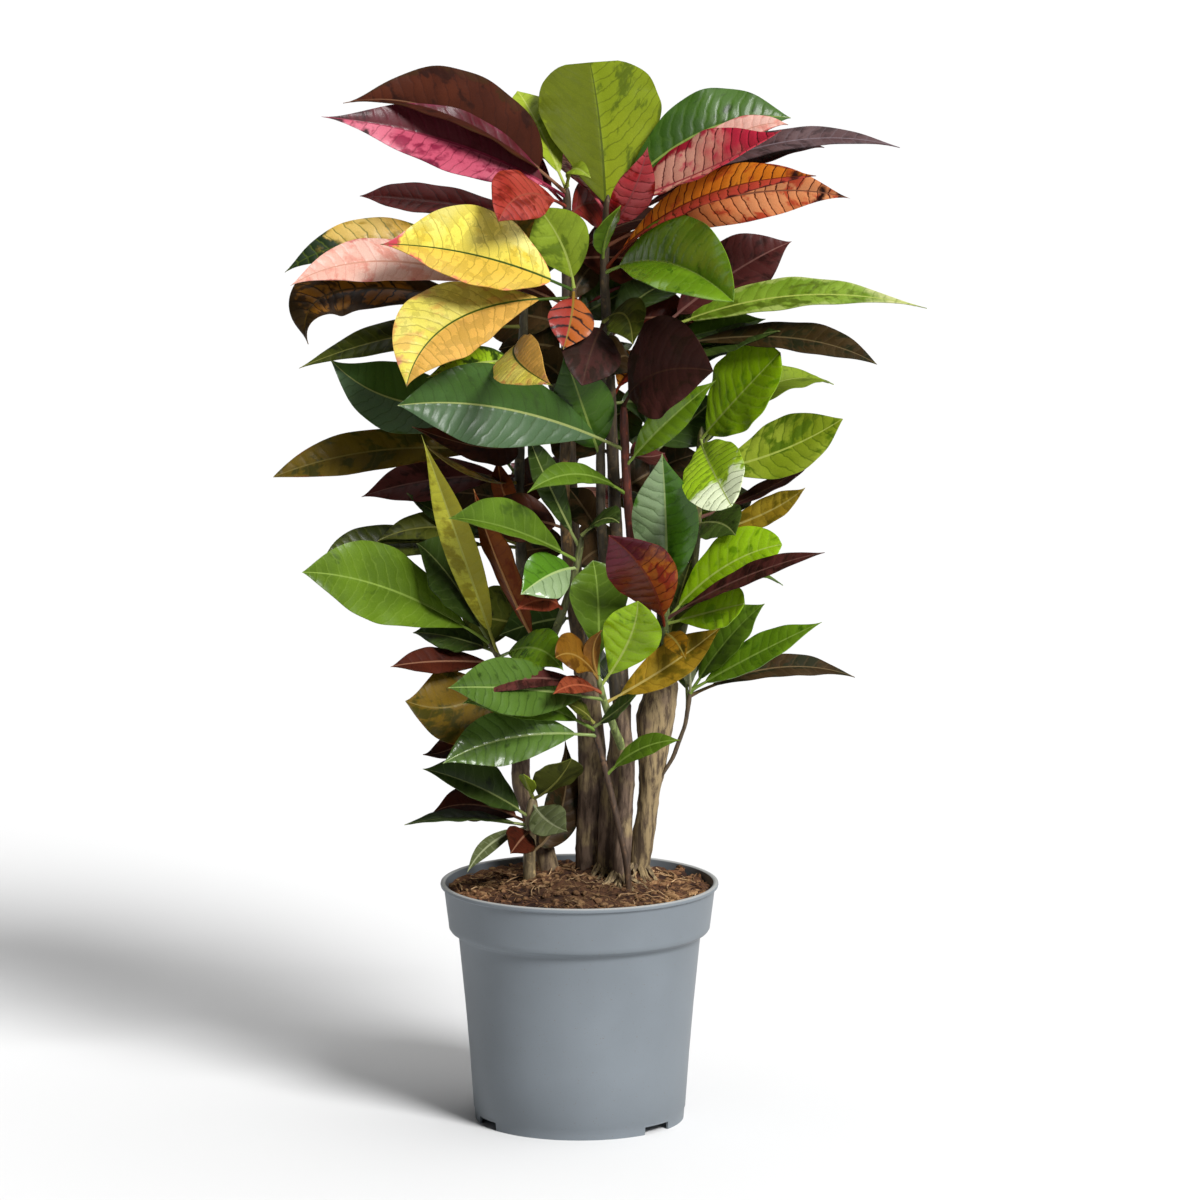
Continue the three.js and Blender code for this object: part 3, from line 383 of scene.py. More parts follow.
# The croton's blades, from the plain green ones to those with yellow, orange and crimson: each
# kind's sRGB colours in the order of FINISH_COLOURS, and what else isn't as BladeFinish says.
# bleed goes up to 0.5, half of the veins' spacing; half_side is 1 for the left side of the rib
# of a leaf that points at the viewer; gloss is 1 for a blade that shines like wax.
FINISH_COLOURS = ("blade", "second", "blotch", "margin", "vein", "rib", "under")
FINISHES = {
    "green": ("#435c12 #526e18 #3a5210 #486012 #6c8434 #6e8636 #5c6c34",
        dict(blotches=0.06, veins=0.25, gloss=0.35)),
    "glossy": ("#3e561a #4e6a28 #2a3e0e #486012 #284010 #7e9050 #56683a",
        dict(blotches=0.04, veins=0.55, bleed=0.16, quilt=0.75, roughness=0.36, gloss=0.75)),
    "ivy": ("#2e4a0e #3e5e14 #1e3408 #2a440e #4a6424 #76883c #3e5220",
        dict(blotches=0.08, veins=0.4, gloss=0.5)),
    # polished: its half's colour is a painted sheen, the whitish gloss on one side of the rib.
    "polished": ("#3e6412 #4a7418 #32560c #446c14 #2c4c10 #98aa6c #5c7640",
        dict(half="#869a70", half_side=-1.0, blotches=0.04, veins=0.5, bleed=0.15, quilt=0.9,
             roughness=0.3, gloss=0.8)),
    "bright": ("#567611 #688a1a #40620c #466c10 #6c8c2c #86a044 #668430",
        dict(blotches=0.15, veins=0.3, quilt=0.2, roughness=0.22, gloss=0.85)),
    "fan": ("#6e7c14 #7a8618 #4c5a0e #66720f #4c560c #444e0c #6c7a22",
        dict(half="#4e560c", half_side=-1.0, blotches=0.3, veins=0.6, bleed=0.2, quilt=0.5,
             roughness=0.62, gloss=0.1)),
    "lime": ("#788a1b #849728 #5a6c12 #6c7e1a #66781a #98a44c #76842a",
        dict(roughness=0.46, gloss=0.3)),
    "meadow": ("#5e7c1a #74902c #4a5e10 #8a9c4c #526614 #96a44c #66762c",
        dict(tip="#b0b478", tip_from=0.72, tip_over=0.3, margin_from=0.8, blotches=0.3)),
    "spring": ("#76980b #86aa18 #5c8008 #789a10 #88a034 #9cb050 #6c8426",
        dict(quilt=0.5, roughness=0.24, gloss=0.5)),
    # sheen: its tip's colour is a painted highlight, the white gloss patch towards the tip.
    "sheen": ("#98be22 #a6c830 #8cb01c #8cb01e #4c5c20 #a0b458 #7c9430",
        dict(tip="#dce6c0", tip_from=0.7, tip_over=0.14, blotches=0.15, veins=0.7, quilt=0.5,
             roughness=0.22, gloss=0.25)),
    "chartreuse": ("#a09e2c #aaa83a #7c7418 #7c7c1e #86862c #9a9a44 #80802c",
        dict(half="#86801e", half_side=1.0, blotches=0.35, quilt=0.3, gloss=0.35)),
    "deep": ("#283812 #37491a #1c280c #243210 #4a5a2e #76804a #3e4a2a",
        dict(blotches=0.1, veins=0.4, quilt=0.5, roughness=0.36)),
    # dusk: its half's colour is a painted sheen, the grey-blue gloss on the blade's lower half.
    "dusk": ("#344e1a #3e5a28 #30461a #3a5020 #2e4018 #8c9458 #4a5a3a",
        dict(half="#4c6246", half_side=-1.0, blotches=0.06, veins=0.4, bleed=0.14, quilt=0.7,
             roughness=0.33, gloss=0.35)),
    "pale": ("#4e5432 #626a46 #3e4626 #4a5230 #7c8262 #8e9270 #626a4c",
        dict(quilt=0.3)),
    "moss": ("#6e8018 #84942c #4c640e #66781a #3e560c #98a44c #788430",
        dict(blotches=0.3, veins=0.6, bleed=0.22, quilt=0.6)),
    "marbled": ("#9cc420 #a8cc3a #2c4410 #38501a #4c6a14 #a4b45c #6c8424",
        dict(margin_from=0.7, blotches=0.45, veins=0.6, bleed=0.25, quilt=0.6, gloss=0.5)),
    "olive": ("#3a420f #4c5218 #2a300a #343c0e #5c6024 #7c7c3c #4c5026",
        dict(blotches=0.35, gloss=0.35)),
    "gold": ("#8a701a #988428 #62540f #7c6616 #5c480f #a49450 #7e6a2a",
        dict(blotches=0.35, gloss=0.35)),
    "bronze": ("#825a10 #94701c #483a0c #54400c #3a2c0a #8c7a38 #5c4818",
        dict(blotches=0.45, veins=0.5, gloss=0.3)),
    "olivebrown": ("#54420a #624e10 #3a360a #6a3c0c #56441a #6c5e2c #463a1c",
        dict(blotches=0.4, veins=0.35, roughness=0.5, gloss=0.2)),
    "umber": ("#30220e #40301a #20200e #281c0e #4a3a24 #5e4e34 #3a3022",
        dict(blotches=0.4, veins=0.35, roughness=0.5, gloss=0.15)),
    "tiger": ("#68460e #865816 #33200a #2a1c0a #241808 #46340f #4c3412",
        dict(tip="#2c200c", tip_from=0.7, tip_over=0.2, margin_from=0.7, blotches=0.4, veins=1.0,
             bleed=0.34, gloss=0.35)),
    "maroon": ("#3c180c #4a2010 #2a1008 #38200c #2a100a #7a5640 #42180e",
        dict(margin_from=0.85, blotches=0.3, veins=0.35, quilt=0.25, roughness=0.55, gloss=0.15)),
    "wine": ("#5e1a10 #701f18 #701c1e #38140e #240c08 #663028 #421812",
        dict(blotches=0.35, veins=0.5, gloss=0.3)),
    "burgundy": ("#2e1814 #3a1e1a #24150e #2a180f #35211a #3c261c #2e1c16",
        dict(blotches=0.3, veins=0.25, quilt=0.2, roughness=0.55, gloss=0.15)),
    "plum": ("#44201c #522824 #2c1410 #2c1412 #4a2c26 #6a4840 #3e2c2c",
        dict(blotches=0.35, veins=0.4, quilt=0.3, roughness=0.48, gloss=0.18)),
    "slate": ("#4e3838 #5a4646 #3a2a2a #403438 #5c5054 #6a5c60 #4a4044",
        dict(blotches=0.35, quilt=0.2, roughness=0.44, gloss=0.35)),
    "crimson": ("#aa4656 #b4606c #7c2034 #601428 #54101e #7c2434 #803440",
        dict(tip="#2a0a0c", tip_from=0.86, half="#3c1210", half_side=1.0, margin_from=0.93,
             blotches=0.3, veins=0.5, bleed=0.14)),
    "scarlet": ("#8c2620 #9c3a32 #701812 #7e2414 #4a0c0a #8a3c30 #802c24",
        dict(margin_from=0.9, blotches=0.35, veins=0.7, bleed=0.14, gloss=0.45)),
    "magenta": ("#be2c42 #c85c68 #981a28 #5c0e16 #4a0812 #a8505a #8a2232",
        dict(blotches=0.35, veins=0.7, gloss=0.45)),
    "rose": ("#d48e7a #d69c88 #c0485a #8c1a2c #50101a #a84a50 #a05a54",
        dict(tip="#c42c48", tip_from=0.42, tip_over=0.4, margin_from=0.8, blotches=0.3, veins=0.95,
             bleed=0.12, roughness=0.5, gloss=0.3)),
    "blush": ("#cc9c8c #cda698 #c48474 #ae5c54 #b47468 #b4806c #c09484",
        dict(tip="#c07c74", margin_from=0.94, blotches=0.3, veins=0.4, quilt=0.2)),
    "orange": ("#c8701c #d08428 #ae501c #3c1410 #42140c #6c2c14 #94402a",
        dict(tip="#2c1410", tip_from=0.93, half="#a2342c", half_side=1.0, margin_from=0.93,
             blotches=0.3, veins=1.0, bleed=0.12)),
    "peach": ("#c87444 #c88458 #a84028 #8c2c20 #48180c #7c4c38 #a86c50",
        dict(tip="#1e0805", tip_from=0.9, margin_from=0.93, blotches=0.35, veins=1.0, bleed=0.12)),
    "yellow": ("#d6c850 #dcd47e #d2ba40 #c47c54 #6c641c #314a0f #baa84c",
        dict(tip="#b03c44", tip_from=0.9, half="#caa840", half_side=-1.0, margin_from=0.92,
             blotches=0.25, veins=0.5, bleed=0.05, quilt=0.35, gloss=0.5)),
    "amber": ("#cabe4a #ccc05c #c8a44c #c09048 #6a5c1c #3c5012 #bfa559",
        dict(tip="#b8745c", tip_from=0.94, half="#d09c4a", half_side=-1.0, margin_from=0.94,
             blotches=0.3, bleed=0.05, quilt=0.35, gloss=0.45)),
    "cream": ("#c89c40 #caa85c #9c7c28 #8c8438 #4c5818 #3c4a14 #ae9859",
        dict(tip="#1d2b13", tip_from=0.7, tip_over=0.1, margin_from=0.94, blotches=0.35, veins=0.7,
             bleed=0.16)),
    "stripe": ("#8c2222 #92302a #8c2420 #6c1814 #140606 #80621e #802820",
        dict(half="#a85420", half_side=-1.0, veins=1.8, bleed=0.45, quilt=0.6)),
    "sunset": ("#a0501c #b06820 #8c3018 #7c2c18 #3c0c0a #6c2c18 #481c10",
        dict(tip="#4e1620", tip_from=0.42, tip_over=0.42, half="#4a200e", half_side=-1.0,
             margin_from=0.95, blotches=0.3, veins=0.8, bleed=0.25, quilt=0.6, roughness=0.3, gloss=0.45)),
    "caramel": ("#704812 #7c5618 #54340c #643c0e #5a3a0e #8c6c34 #7a5426",
        dict(blotches=0.35, veins=0.4, gloss=0.3)),
    "brick": ("#78301f #883e2a #501a10 #641f10 #4a140a #9c5038 #742c1a",
        dict(blotches=0.35, veins=0.4, gloss=0.25)),
    "russet": ("#6c3212 #84481a #601c0c #742c10 #42160a #a87448 #6c3014",
        dict(blotches=0.35, veins=0.4, gloss=0.3)),
    "rust": ("#76380f #8c4c16 #50200a #6c280e #3e160a #a0683c #6c3414",
        dict(blotches=0.35, veins=0.4, gloss=0.3)),
}

WELD = 0.02 * MM  # points nearer than this are one
FRACTAL_OCTAVES = 4

# Settings that many material nodes share.
EASED = {"interpolation_type": "SMOOTHSTEP"}
COLOURS = {"data_type": "RGBA"}
TIMES = {"operation": "MULTIPLY"}
TIMES_PLUS = {"operation": "MULTIPLY_ADD"}


# ------------------------------------------------------------------ small tools

def linear(hex_colour):
    """The linear colour, with alpha, of an sRGB hex value."""
    parts = [int(hex_colour[i:i + 2], 16) / 255 for i in (1, 3, 5)]
    curved = [p / 12.92 if p <= 0.04045 else ((p + 0.055) / 1.055) ** 2.4 for p in parts]
    return (*curved, 1.0)


def add(tree, kind, settings=None, inputs=None):
    """Adds a shader node with its settings, and sets or links its inputs by name or number.

    An input that is a node takes its first live output, and a (node, name) pair the named one.
    """
    node = tree.nodes.new(f"ShaderNode{kind}")
    for name, value in (settings or {}).items():
        setattr(node, name, value)
    for key, value in (inputs or {}).items():
        named = (s for s in node.inputs if s.enabled and s.name == key)
        target = node.inputs[key] if isinstance(key, int) else next(named)
        if isinstance(value, tuple) and isinstance(value[0], bpy.types.Node):
            tree.links.new(value[0].outputs[value[1]], target)
        elif isinstance(value, bpy.types.Node):
            tree.links.new(next(s for s in value.outputs if s.enabled), target)
        else:
            target.default_value = value
    return node


def new_material(name):
    """An empty node material, as (material, tree)."""
    material = bpy.data.materials.new(name)
    material.use_nodes = True
    material.node_tree.nodes.clear()
    return material, material.node_tree


def select_only(*pieces):
    bpy.ops.object.select_all(action="DESELECT")
    for piece in pieces:
        piece.select_set(True)
    bpy.context.view_layer.objects.active = pieces[0]


def corners_of(mesh):
    """The places of a mesh's points, one to a row."""
    flat = np.empty(len(mesh.vertices) * 3)
    mesh.vertices.foreach_get("co", flat)
    return flat.reshape(-1, 3)


def shaped_grid(rows, columns, place):
    """A grid primitive whose points go where place(u, v) says, in millimetres.

    u runs along the rows and v across the columns, from 0 to 1. place also gives the
    values that its points carry for the material, by name.
    """
    bpy.ops.object.select_all(action="DESELECT")
    bpy.ops.mesh.primitive_grid_add(x_subdivisions=rows, y_subdivisions=columns, size=2)
    piece = bpy.context.object
    uv = (corners_of(piece.data)[:, :2] + 1) / 2
    points, values = place(uv[:, 0], uv[:, 1])
    piece.data.vertices.foreach_set("co", (points * MM).ravel())
    for name, value in values.items():
        carry(piece, name, value)
    piece.data.update()
    return piece


def carry(piece, name, value):
    """Stores a number for each of a piece's points, which its material reads by name."""
    layer = piece.data.attributes.new(name, "FLOAT", "POINT")
    layer.data.foreach_set("value", value)


def new_piece(name, data):
    """Puts a new mesh or curve into the scene as an object."""
    piece = bpy.data.objects.new(name, data)
    bpy.context.collection.objects.link(piece)
    return piece


def joined(name, pieces):
    """Joins pieces into one that is called name."""
    select_only(*pieces)
    if len(pieces) > 1:
        bpy.ops.object.join()
    piece = bpy.context.object
    piece.name = name
    piece.data.name = name
    return piece


def weld(piece, close=False, outwards=False):
    """Merges equal points, and may fill open ends and turn the faces outwards."""
    select_only(piece)
    bpy.ops.object.mode_set(mode="EDIT")
    bpy.ops.mesh.select_all(action="SELECT")
    bpy.ops.mesh.remove_doubles(threshold=WELD)
    if close:
        bpy.ops.mesh.select_all(action="DESELECT")
        bpy.ops.mesh.select_non_manifold(use_wire=False, use_multi_face=False, use_verts=False)
        bpy.ops.mesh.edge_face_add()
        bpy.ops.mesh.select_all(action="SELECT")
    if outwards:
        bpy.ops.mesh.normals_make_consistent(inside=False)
    bpy.ops.object.mode_set(mode="OBJECT")


def hand_over(piece, slot, *nodes):
    """Sets a finished piece on the plant's body, in place of its CAD nodes."""
    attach(piece, "root")
    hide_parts(*nodes)


def fractal(points, size):
    """Fractal noise from -1 to 1 at each point, with bumps of about `size` millimetres."""
    return np.array([noise.fractal(Vector(p) / size, 1.0, 2.0, FRACTAL_OCTAVES) for p in points])


def smooth(value, low, high):
    """0 below low and 1 above high, eased between."""
    share = np.clip((value - low) / (high - low), 0, 1)
    return share * share * (3 - 2 * share)


# ------------------------------------------------------------------ settings

def length_setting(name, description, default):
    return bpy.props.FloatProperty(
        name=name, description=description, default=default, unit="LENGTH", precision=4
    )


def colour_setting(name, description, default):
    return bpy.props.FloatVectorProperty(
        name=name, description=description, subtype="COLOR", size=4, min=0, max=1,
        default=linear(default),
    )


def share_setting(name, description, default):
    return bpy.props.FloatProperty(name=name, description=description, default=default, subtype="FACTOR")


def count_setting(name, description, default):
    return bpy.props.IntProperty(name=name, description=description, default=default, min=0)


class PotSettings(bpy.types.PropertyGroup):
    """The moulded nursery pot."""

    rim_radius: length_setting("Rim radius", "Outer radius of the rolled lip", 0.105)
    height: length_setting("Height", "Height from the surface to the top of the lip", 0.182)
    foot_radius: length_setting("Foot radius", "Outer radius of the foot", 0.079)
    wall: length_setting("Wall", "Thickness of the moulded wall", 0.0016)
    colour: colour_setting("Plastic", "Colour of the grey polypropylene", "#757c82")


class SoilSettings(bpy.types.PropertyGroup):
    """The coir and peat round the trunks."""

    peat: colour_setting("Peat", "Colour of the damp peat", "#33211a")
    coir: colour_setting("Coir", "Colour of the coir crumbs", "#6c4a32")
    fibre: colour_setting("Fibre", "Colour of the pale fibres", "#a8845c")
    crumbs: count_setting("Crumbs", "Crumbs on the top", 900)
    fibres: count_setting("Fibres", "Fibres on the top", 520)
    rootlets: count_setting("Rootlets", "Pale rootlets on the top", 60)


class BarkSettings(bpy.types.PropertyGroup):
    """The bark of the old trunks."""

    bark: colour_setting("Bark", "Colour of the bark's plates", "#6e5a4a")
    light: colour_setting("Light bark", "Colour where the bark is rubbed or young", "#94805c")
    crack: colour_setting("Cracks", "Colour in the bark's cracks", "#3c2c20")
    relief: length_setting("Relief", "Height of the bark's ridges", 0.0011)


class BladeSettings(bpy.types.PropertyGroup):
    """What all the blades share."""

    thickness: length_setting("Thickness", "Thickness of a blade", 0.0007)
    rib_radius: length_setting("Rib radius", "Radius of a leaf's stalk and of its rib's foot", 0.0012)
    vein_spacing: length_setting("Vein spacing", "Distance between side veins along the rib", 0.0092)


class BladeFinish(bpy.types.PropertyGroup):
    """The colours and pattern of one kind of blade. The defaults are a plain green blade's."""

    blade: colour_setting("Blade", "Main colour", "#486012")
    second: colour_setting("Second", "Colour that the main one drifts to", "#567018")
    blotch: colour_setting("Blotch", "Colour of the blotches", "#37500e")
    margin: colour_setting("Margin", "Colour along the edge", "#486012")
    tip: colour_setting("Tip", "Colour of the tip", "#486012")
    half: colour_setting("Half", "Colour of one side of the rib", "#486012")
    vein: colour_setting("Vein", "Colour of the side veins", "#6c8434")
    rib: colour_setting("Rib", "Colour of the midrib and stalk", "#8c9c4a")
    under: colour_setting("Underside", "Colour that the underside leans to", "#5c6c34")
    blotches: share_setting("Blotches", "Share of the blade that is blotched", 0.2)
    margin_from: share_setting("Margin from", "Share of the half width where the edge's colour starts", 0.97)
    tip_from: share_setting("Tip from", "Share of the length where the tip's colour starts", 1.1)
    tip_over: share_setting("Tip over", "Share of the length over which the tip's colour comes in", 0.12)
    half_side: bpy.props.FloatProperty(
        name="Half side", description="Which side of the rib has the half's colour, or 0 for none",
        default=0.0, min=-1, max=1,
    )
    veins: share_setting("Veins", "How strongly the side veins show", 0.45)
    bleed: share_setting("Bleed", "How far the veins' colour runs out, as a share of their spacing", 0.08)
    quilt: bpy.props.FloatProperty(
        name="Quilt", description="How far the blade swells between its veins, in millimetres",
        default=0.4,
    )
    roughness: share_setting("Roughness", "Roughness of the wax on the blade", 0.42)
    gloss: share_setting("Gloss", "How strongly the wax shines, 0 for matt", 0.4)


class CrotonSettings(bpy.types.PropertyGroup):
    """All that a user would change."""

    pot: bpy.props.PointerProperty(type=PotSettings)
    soil: bpy.props.PointerProperty(type=SoilSettings)
    bark: bpy.props.PointerProperty(type=BarkSettings)
    blades: bpy.props.PointerProperty(type=BladeSettings)
    finishes: bpy.props.CollectionProperty(type=BladeFinish)


def fill_finishes(settings):
    """Writes the table of finishes into the settings, where a user can change them."""
    settings.finishes.clear()
    for kind, (colours, own) in FINISHES.items():
        finish = settings.finishes.add()
        finish.name = kind
        for key, value in {**dict(zip(FINISH_COLOURS, colours.split())), **own}.items():
            setattr(finish, key, linear(value) if isinstance(value, str) else value)


# ------------------------------------------------------------------ materials

def blade_material(finish):
    """Waxy leaf blade: a satin cuticle over colour that follows the veins, as croton's does.

    share is the place along the rib, across the distance from it in millimetres, edge the
    same as a part of the half width, vein the count of side veins, own a number of the leaf's
    own from 0 to 1, and below 1 on the underside.
    """
    material, tree = new_material(f"blade_{finish.name}")
    place = (add(tree, "TexCoord"), "Object")
    share, across, edge, vein, own, below = [
        (add(tree, "Attribute", {"attribute_name": name}), "Fac")
        for name in ("share", "across", "edge", "vein", "own", "below")
    ]

    # Soft patches about 12 mm across, which bend the veins and every colour's border.
    drift = add(tree, "TexNoise", {}, {"Vector": place, "Scale": 80.0, "Detail": 3.0, "Roughness": 0.55})
    sway = add(tree, "MapRange", {}, {
        "Value": drift, "From Min": 0.3, "From Max": 0.7, "To Min": -0.2, "To Max": 0.2,
    })
    swayed = add(tree, "Math", {"operation": "ADD"}, {0: vein, 1: sway})
    between = add(tree, "Math", {"operation": "PINGPONG"}, {0: swayed, 1: 0.5})

    # Blotches slant with the side veins, each about 8 mm along the rib and 7 mm out from it.
    run = add(tree, "CombineXYZ", {}, {"X": swayed, "Y": across, "Z": own})
    spread = add(tree, "VectorMath", TIMES, {0: run, 1: (0.55, 0.075, 37.0)})
    patches = add(tree, "TexNoise", {}, {"Vector": spread, "Scale": 1.0, "Detail": 3.5, "Roughness": 0.6})
    level = 0.66 - 0.34 * finish.blotches
    blotched = add(tree, "MapRange", EASED, {
        "Value": patches, "From Min": level - 0.05, "From Max": level + 0.07,
    })

    # The main colour drifts to the second one over patches about 45 mm across.
    broad = add(tree, "TexNoise", {}, {"Vector": place, "Scale": 22.0, "Detail": 2.0})
    drifted = add(tree, "MapRange", EASED, {"Value": broad, "From Min": 0.38, "From Max": 0.62})

    # One side of the rib can have a colour of its own; for dusk and polished it is a painted sheen.
    sided = add(tree, "Math", TIMES, {0: edge, 1: finish.half_side})
    halved = add(tree, "MapRange", EASED, {
        "Value": sided, "From Min": -0.02, "From Max": 0.06, "To Max": 0.92 * abs(finish.half_side),
    })

    # The edge's colour and the tip's, with borders that wander with the soft patches. For sheen the tip's
    # colour is a painted highlight.
    out = add(tree, "Math", {"operation": "ABSOLUTE"}, {0: edge})
    wander = add(tree, "Math", {"operation": "ADD"}, {0: sway, 1: out})
    margin = add(tree, "MapRange", EASED, {
        "Value": wander, "From Min": finish.margin_from, "From Max": finish.margin_from + 0.18,
    })
    onward = add(tree, "Math", TIMES_PLUS, {0: sway, 1: 0.6, 2: share})
    start = finish.tip_from - 0.05
    tipped = add(tree, "MapRange", EASED, {
        "Value": onward, "From Min": start, "From Max": start + finish.tip_over,
    })

    # Side veins: a fine line, and the colour that bleeds from it where the patches let it.
    line = add(tree, "MapRange", EASED, {
        "Value": between, "From Min": 0.03, "From Max": 0.085, "To Min": 1.0, "To Max": 0.0,
    })
    ragged = add(tree, "Math", TIMES_PLUS, {0: drift, 1: finish.bleed * 1.6, 2: finish.bleed * -0.35})
    soaked = add(tree, "MapRange", EASED, {
        "Value": between, "From Min": 0.02, "From Max": ragged, "To Min": 1.0, "To Max": 0.0,
    })
    stain = add(tree, "Math", TIMES, {0: soaked, 1: 0.55})
    drawn = add(tree, "Math", {"operation": "MAXIMUM"}, {0: line, 1: stain})
    shown = add(tree, "Math", TIMES, {0: drawn, 1: finish.veins})

    # The midrib, about 2 mm wide at its foot and 0.7 mm at the tip.
    aside = add(tree, "Math", {"operation": "ABSOLUTE"}, {0: across})
    taper = add(tree, "Math", TIMES_PLUS, {0: share, 1: -0.9, 2: 1.35})
    onto = add(tree, "Math", {"operation": "DIVIDE"}, {0: aside, 1: taper})
    rib = add(tree, "MapRange", EASED, {
        "Value": onto, "From Min": 0.55, "From Max": 1.05, "To Min": 1.0, "To Max": 0.0,
    })

    # Each colour lies over those before it. The underside is duller, with less of the pattern.
    under = add(tree, "Math", TIMES, {0: below, 1: 0.4})
    body = finish.blade
    for factor, colour in (
        (drifted, finish.second), (blotched, finish.blotch), (halved, finish.half),
        (margin, finish.margin), (tipped, finish.tip), (shown, finish.vein), (rib, finish.rib),
        (under, finish.under),
    ):
        body = add(tree, "Mix", COLOURS, {"Factor": factor, "A": body, "B": colour})

    # No two leaves are quite alike, and cells 1.6 mm across give a grain of light and dark.
    cells = add(tree, "TexVoronoi", {"feature": "DISTANCE_TO_EDGE"}, {"Vector": place, "Scale": 620.0})
    grain = add(tree, "MapRange", {}, {"Value": cells, "From Max": 0.25, "To Min": 0.93, "To Max": 1.03})
    light = add(tree, "MapRange", {}, {"Value": own, "To Min": 0.86, "To Max": 1.12})
    value = add(tree, "Math", TIMES, {0: grain, 1: light})
    hue = add(tree, "MapRange", {}, {"Value": own, "To Min": 0.507, "To Max": 0.493})
    colour = add(tree, "HueSaturation", {}, {"Color": body, "Value": value, "Hue": hue})

    # The blade swells between its veins, a little unevenly, and has fine pores.
    swell = add(tree, "MapRange", EASED, {"Value": between, "From Max": 0.3})
    uneven = add(tree, "Math", TIMES_PLUS, {0: drift, 1: 2.4, 2: swell})
    pores = add(tree, "Math", TIMES_PLUS, {0: cells, 1: 0.25, 2: uneven})
    bump = add(tree, "Bump", {}, {"Strength": 0.4, "Distance": 0.35 * MM, "Height": pores})
    wax = add(tree, "MapRange", {}, {
        "Value": drift, "From Min": 0.3, "From Max": 0.7,
        "To Min": finish.roughness - 0.05, "To Max": finish.roughness + 0.07,
    })
    dull = add(tree, "Math", TIMES_PLUS, {0: under, 1: 0.4, 2: wax})
    skin = add(tree, "BsdfPrincipled", {}, {
        "Base Color": colour, "Roughness": dull, "Normal": bump,
        "Specular IOR Level": 0.04 + 0.24 * finish.gloss, "Coat Weight": 0.45 * finish.gloss ** 2,
        "Coat Roughness": 0.16, "Coat Normal": bump,
    })
    add(tree, "OutputMaterial", {}, {"Surface": skin})
    return material


def young_wood_material(name, hex_colour):
    """Young croton wood: smooth green-brown skin with pale leaf scars and fine streaks.

    The streaks are about 2.4 mm wide and 11 mm long, and the scars 5 mm across.
    """
    material, tree = new_material(name)
    place = (add(tree, "TexCoord"), "Object")
    middle = linear(hex_colour)
    dark = [part * share for part, share in zip(middle, (0.45, 0.42, 0.42, 1.0))]
    pale = [min(1, part * share) for part, share in zip(middle, (1.9, 1.8, 1.7, 1.0))]
    stretch = add(tree, "Mapping", {}, {"Vector": place, "Scale": (1.0, 1.0, 0.22)})
    streaks = add(tree, "TexNoise", {}, {"Vector": stretch, "Scale": 420.0, "Detail": 4.0, "Roughness": 0.6})
    tones = add(tree, "MapRange", EASED, {"Value": streaks, "From Min": 0.35, "From Max": 0.65})
    body = add(tree, "Mix", COLOURS, {"Factor": tones, "A": dark, "B": middle})
    scars = add(tree, "TexNoise", {}, {"Vector": place, "Scale": 190.0, "Detail": 2.0})
    marks = add(tree, "MapRange", EASED, {
        "Value": scars, "From Min": 0.58, "From Max": 0.68, "To Max": 0.8,
    })
    colour = add(tree, "Mix", COLOURS, {"Factor": marks, "A": body, "B": pale})
    bump = add(tree, "Bump", {}, {"Strength": 0.5, "Distance": 0.3 * MM, "Height": streaks})
    skin = add(tree, "BsdfPrincipled", {}, {"Base Color": colour, "Roughness": 0.62, "Normal": bump})
    add(tree, "OutputMaterial", {}, {"Surface": skin})
    return material


def bark_material(name, bark, paleness):
    """Old croton bark: matt grey-tan plates with dark lengthwise cracks and pale rubbed spots.

    The plates are about 4 mm wide and 21 mm long, and the spots 22 mm across.
    """
    material, tree = new_material(name)
    place = (add(tree, "TexCoord"), "Object")
    stretch = add(tree, "Mapping", {}, {"Vector": place, "Scale": (1.0, 1.0, 0.18)})
    plates = add(tree, "TexNoise", {}, {
        "Vector": stretch, "Scale": 260.0, "Detail": 6.0, "Roughness": 0.65, "Distortion": 0.4,
    })
    patches = add(tree, "TexNoise", {}, {"Vector": place, "Scale": 45.0, "Detail": 3.0})
    rubbed = add(tree, "MapRange", EASED, {
        "Value": patches, "From Min": 0.5 - 0.3 * paleness, "From Max": 0.7 - 0.3 * paleness,
    })
    body = add(tree, "Mix", COLOURS, {"Factor": rubbed, "A": bark.bark, "B": bark.light})
    cracked = add(tree, "MapRange", EASED, {
        "Value": plates, "From Min": 0.36, "From Max": 0.58, "To Min": 0.9, "To Max": 0.0,
    })
    colour = add(tree, "Mix", COLOURS, {"Factor": cracked, "A": body, "B": bark.crack})
    bump = add(tree, "Bump", {}, {"Strength": 0.8, "Distance": 0.8 * MM, "Height": plates})
    skin = add(tree, "BsdfPrincipled", {}, {"Base Color": colour, "Roughness": 0.86, "Normal": bump})
    add(tree, "OutputMaterial", {}, {"Surface": skin})
    return material


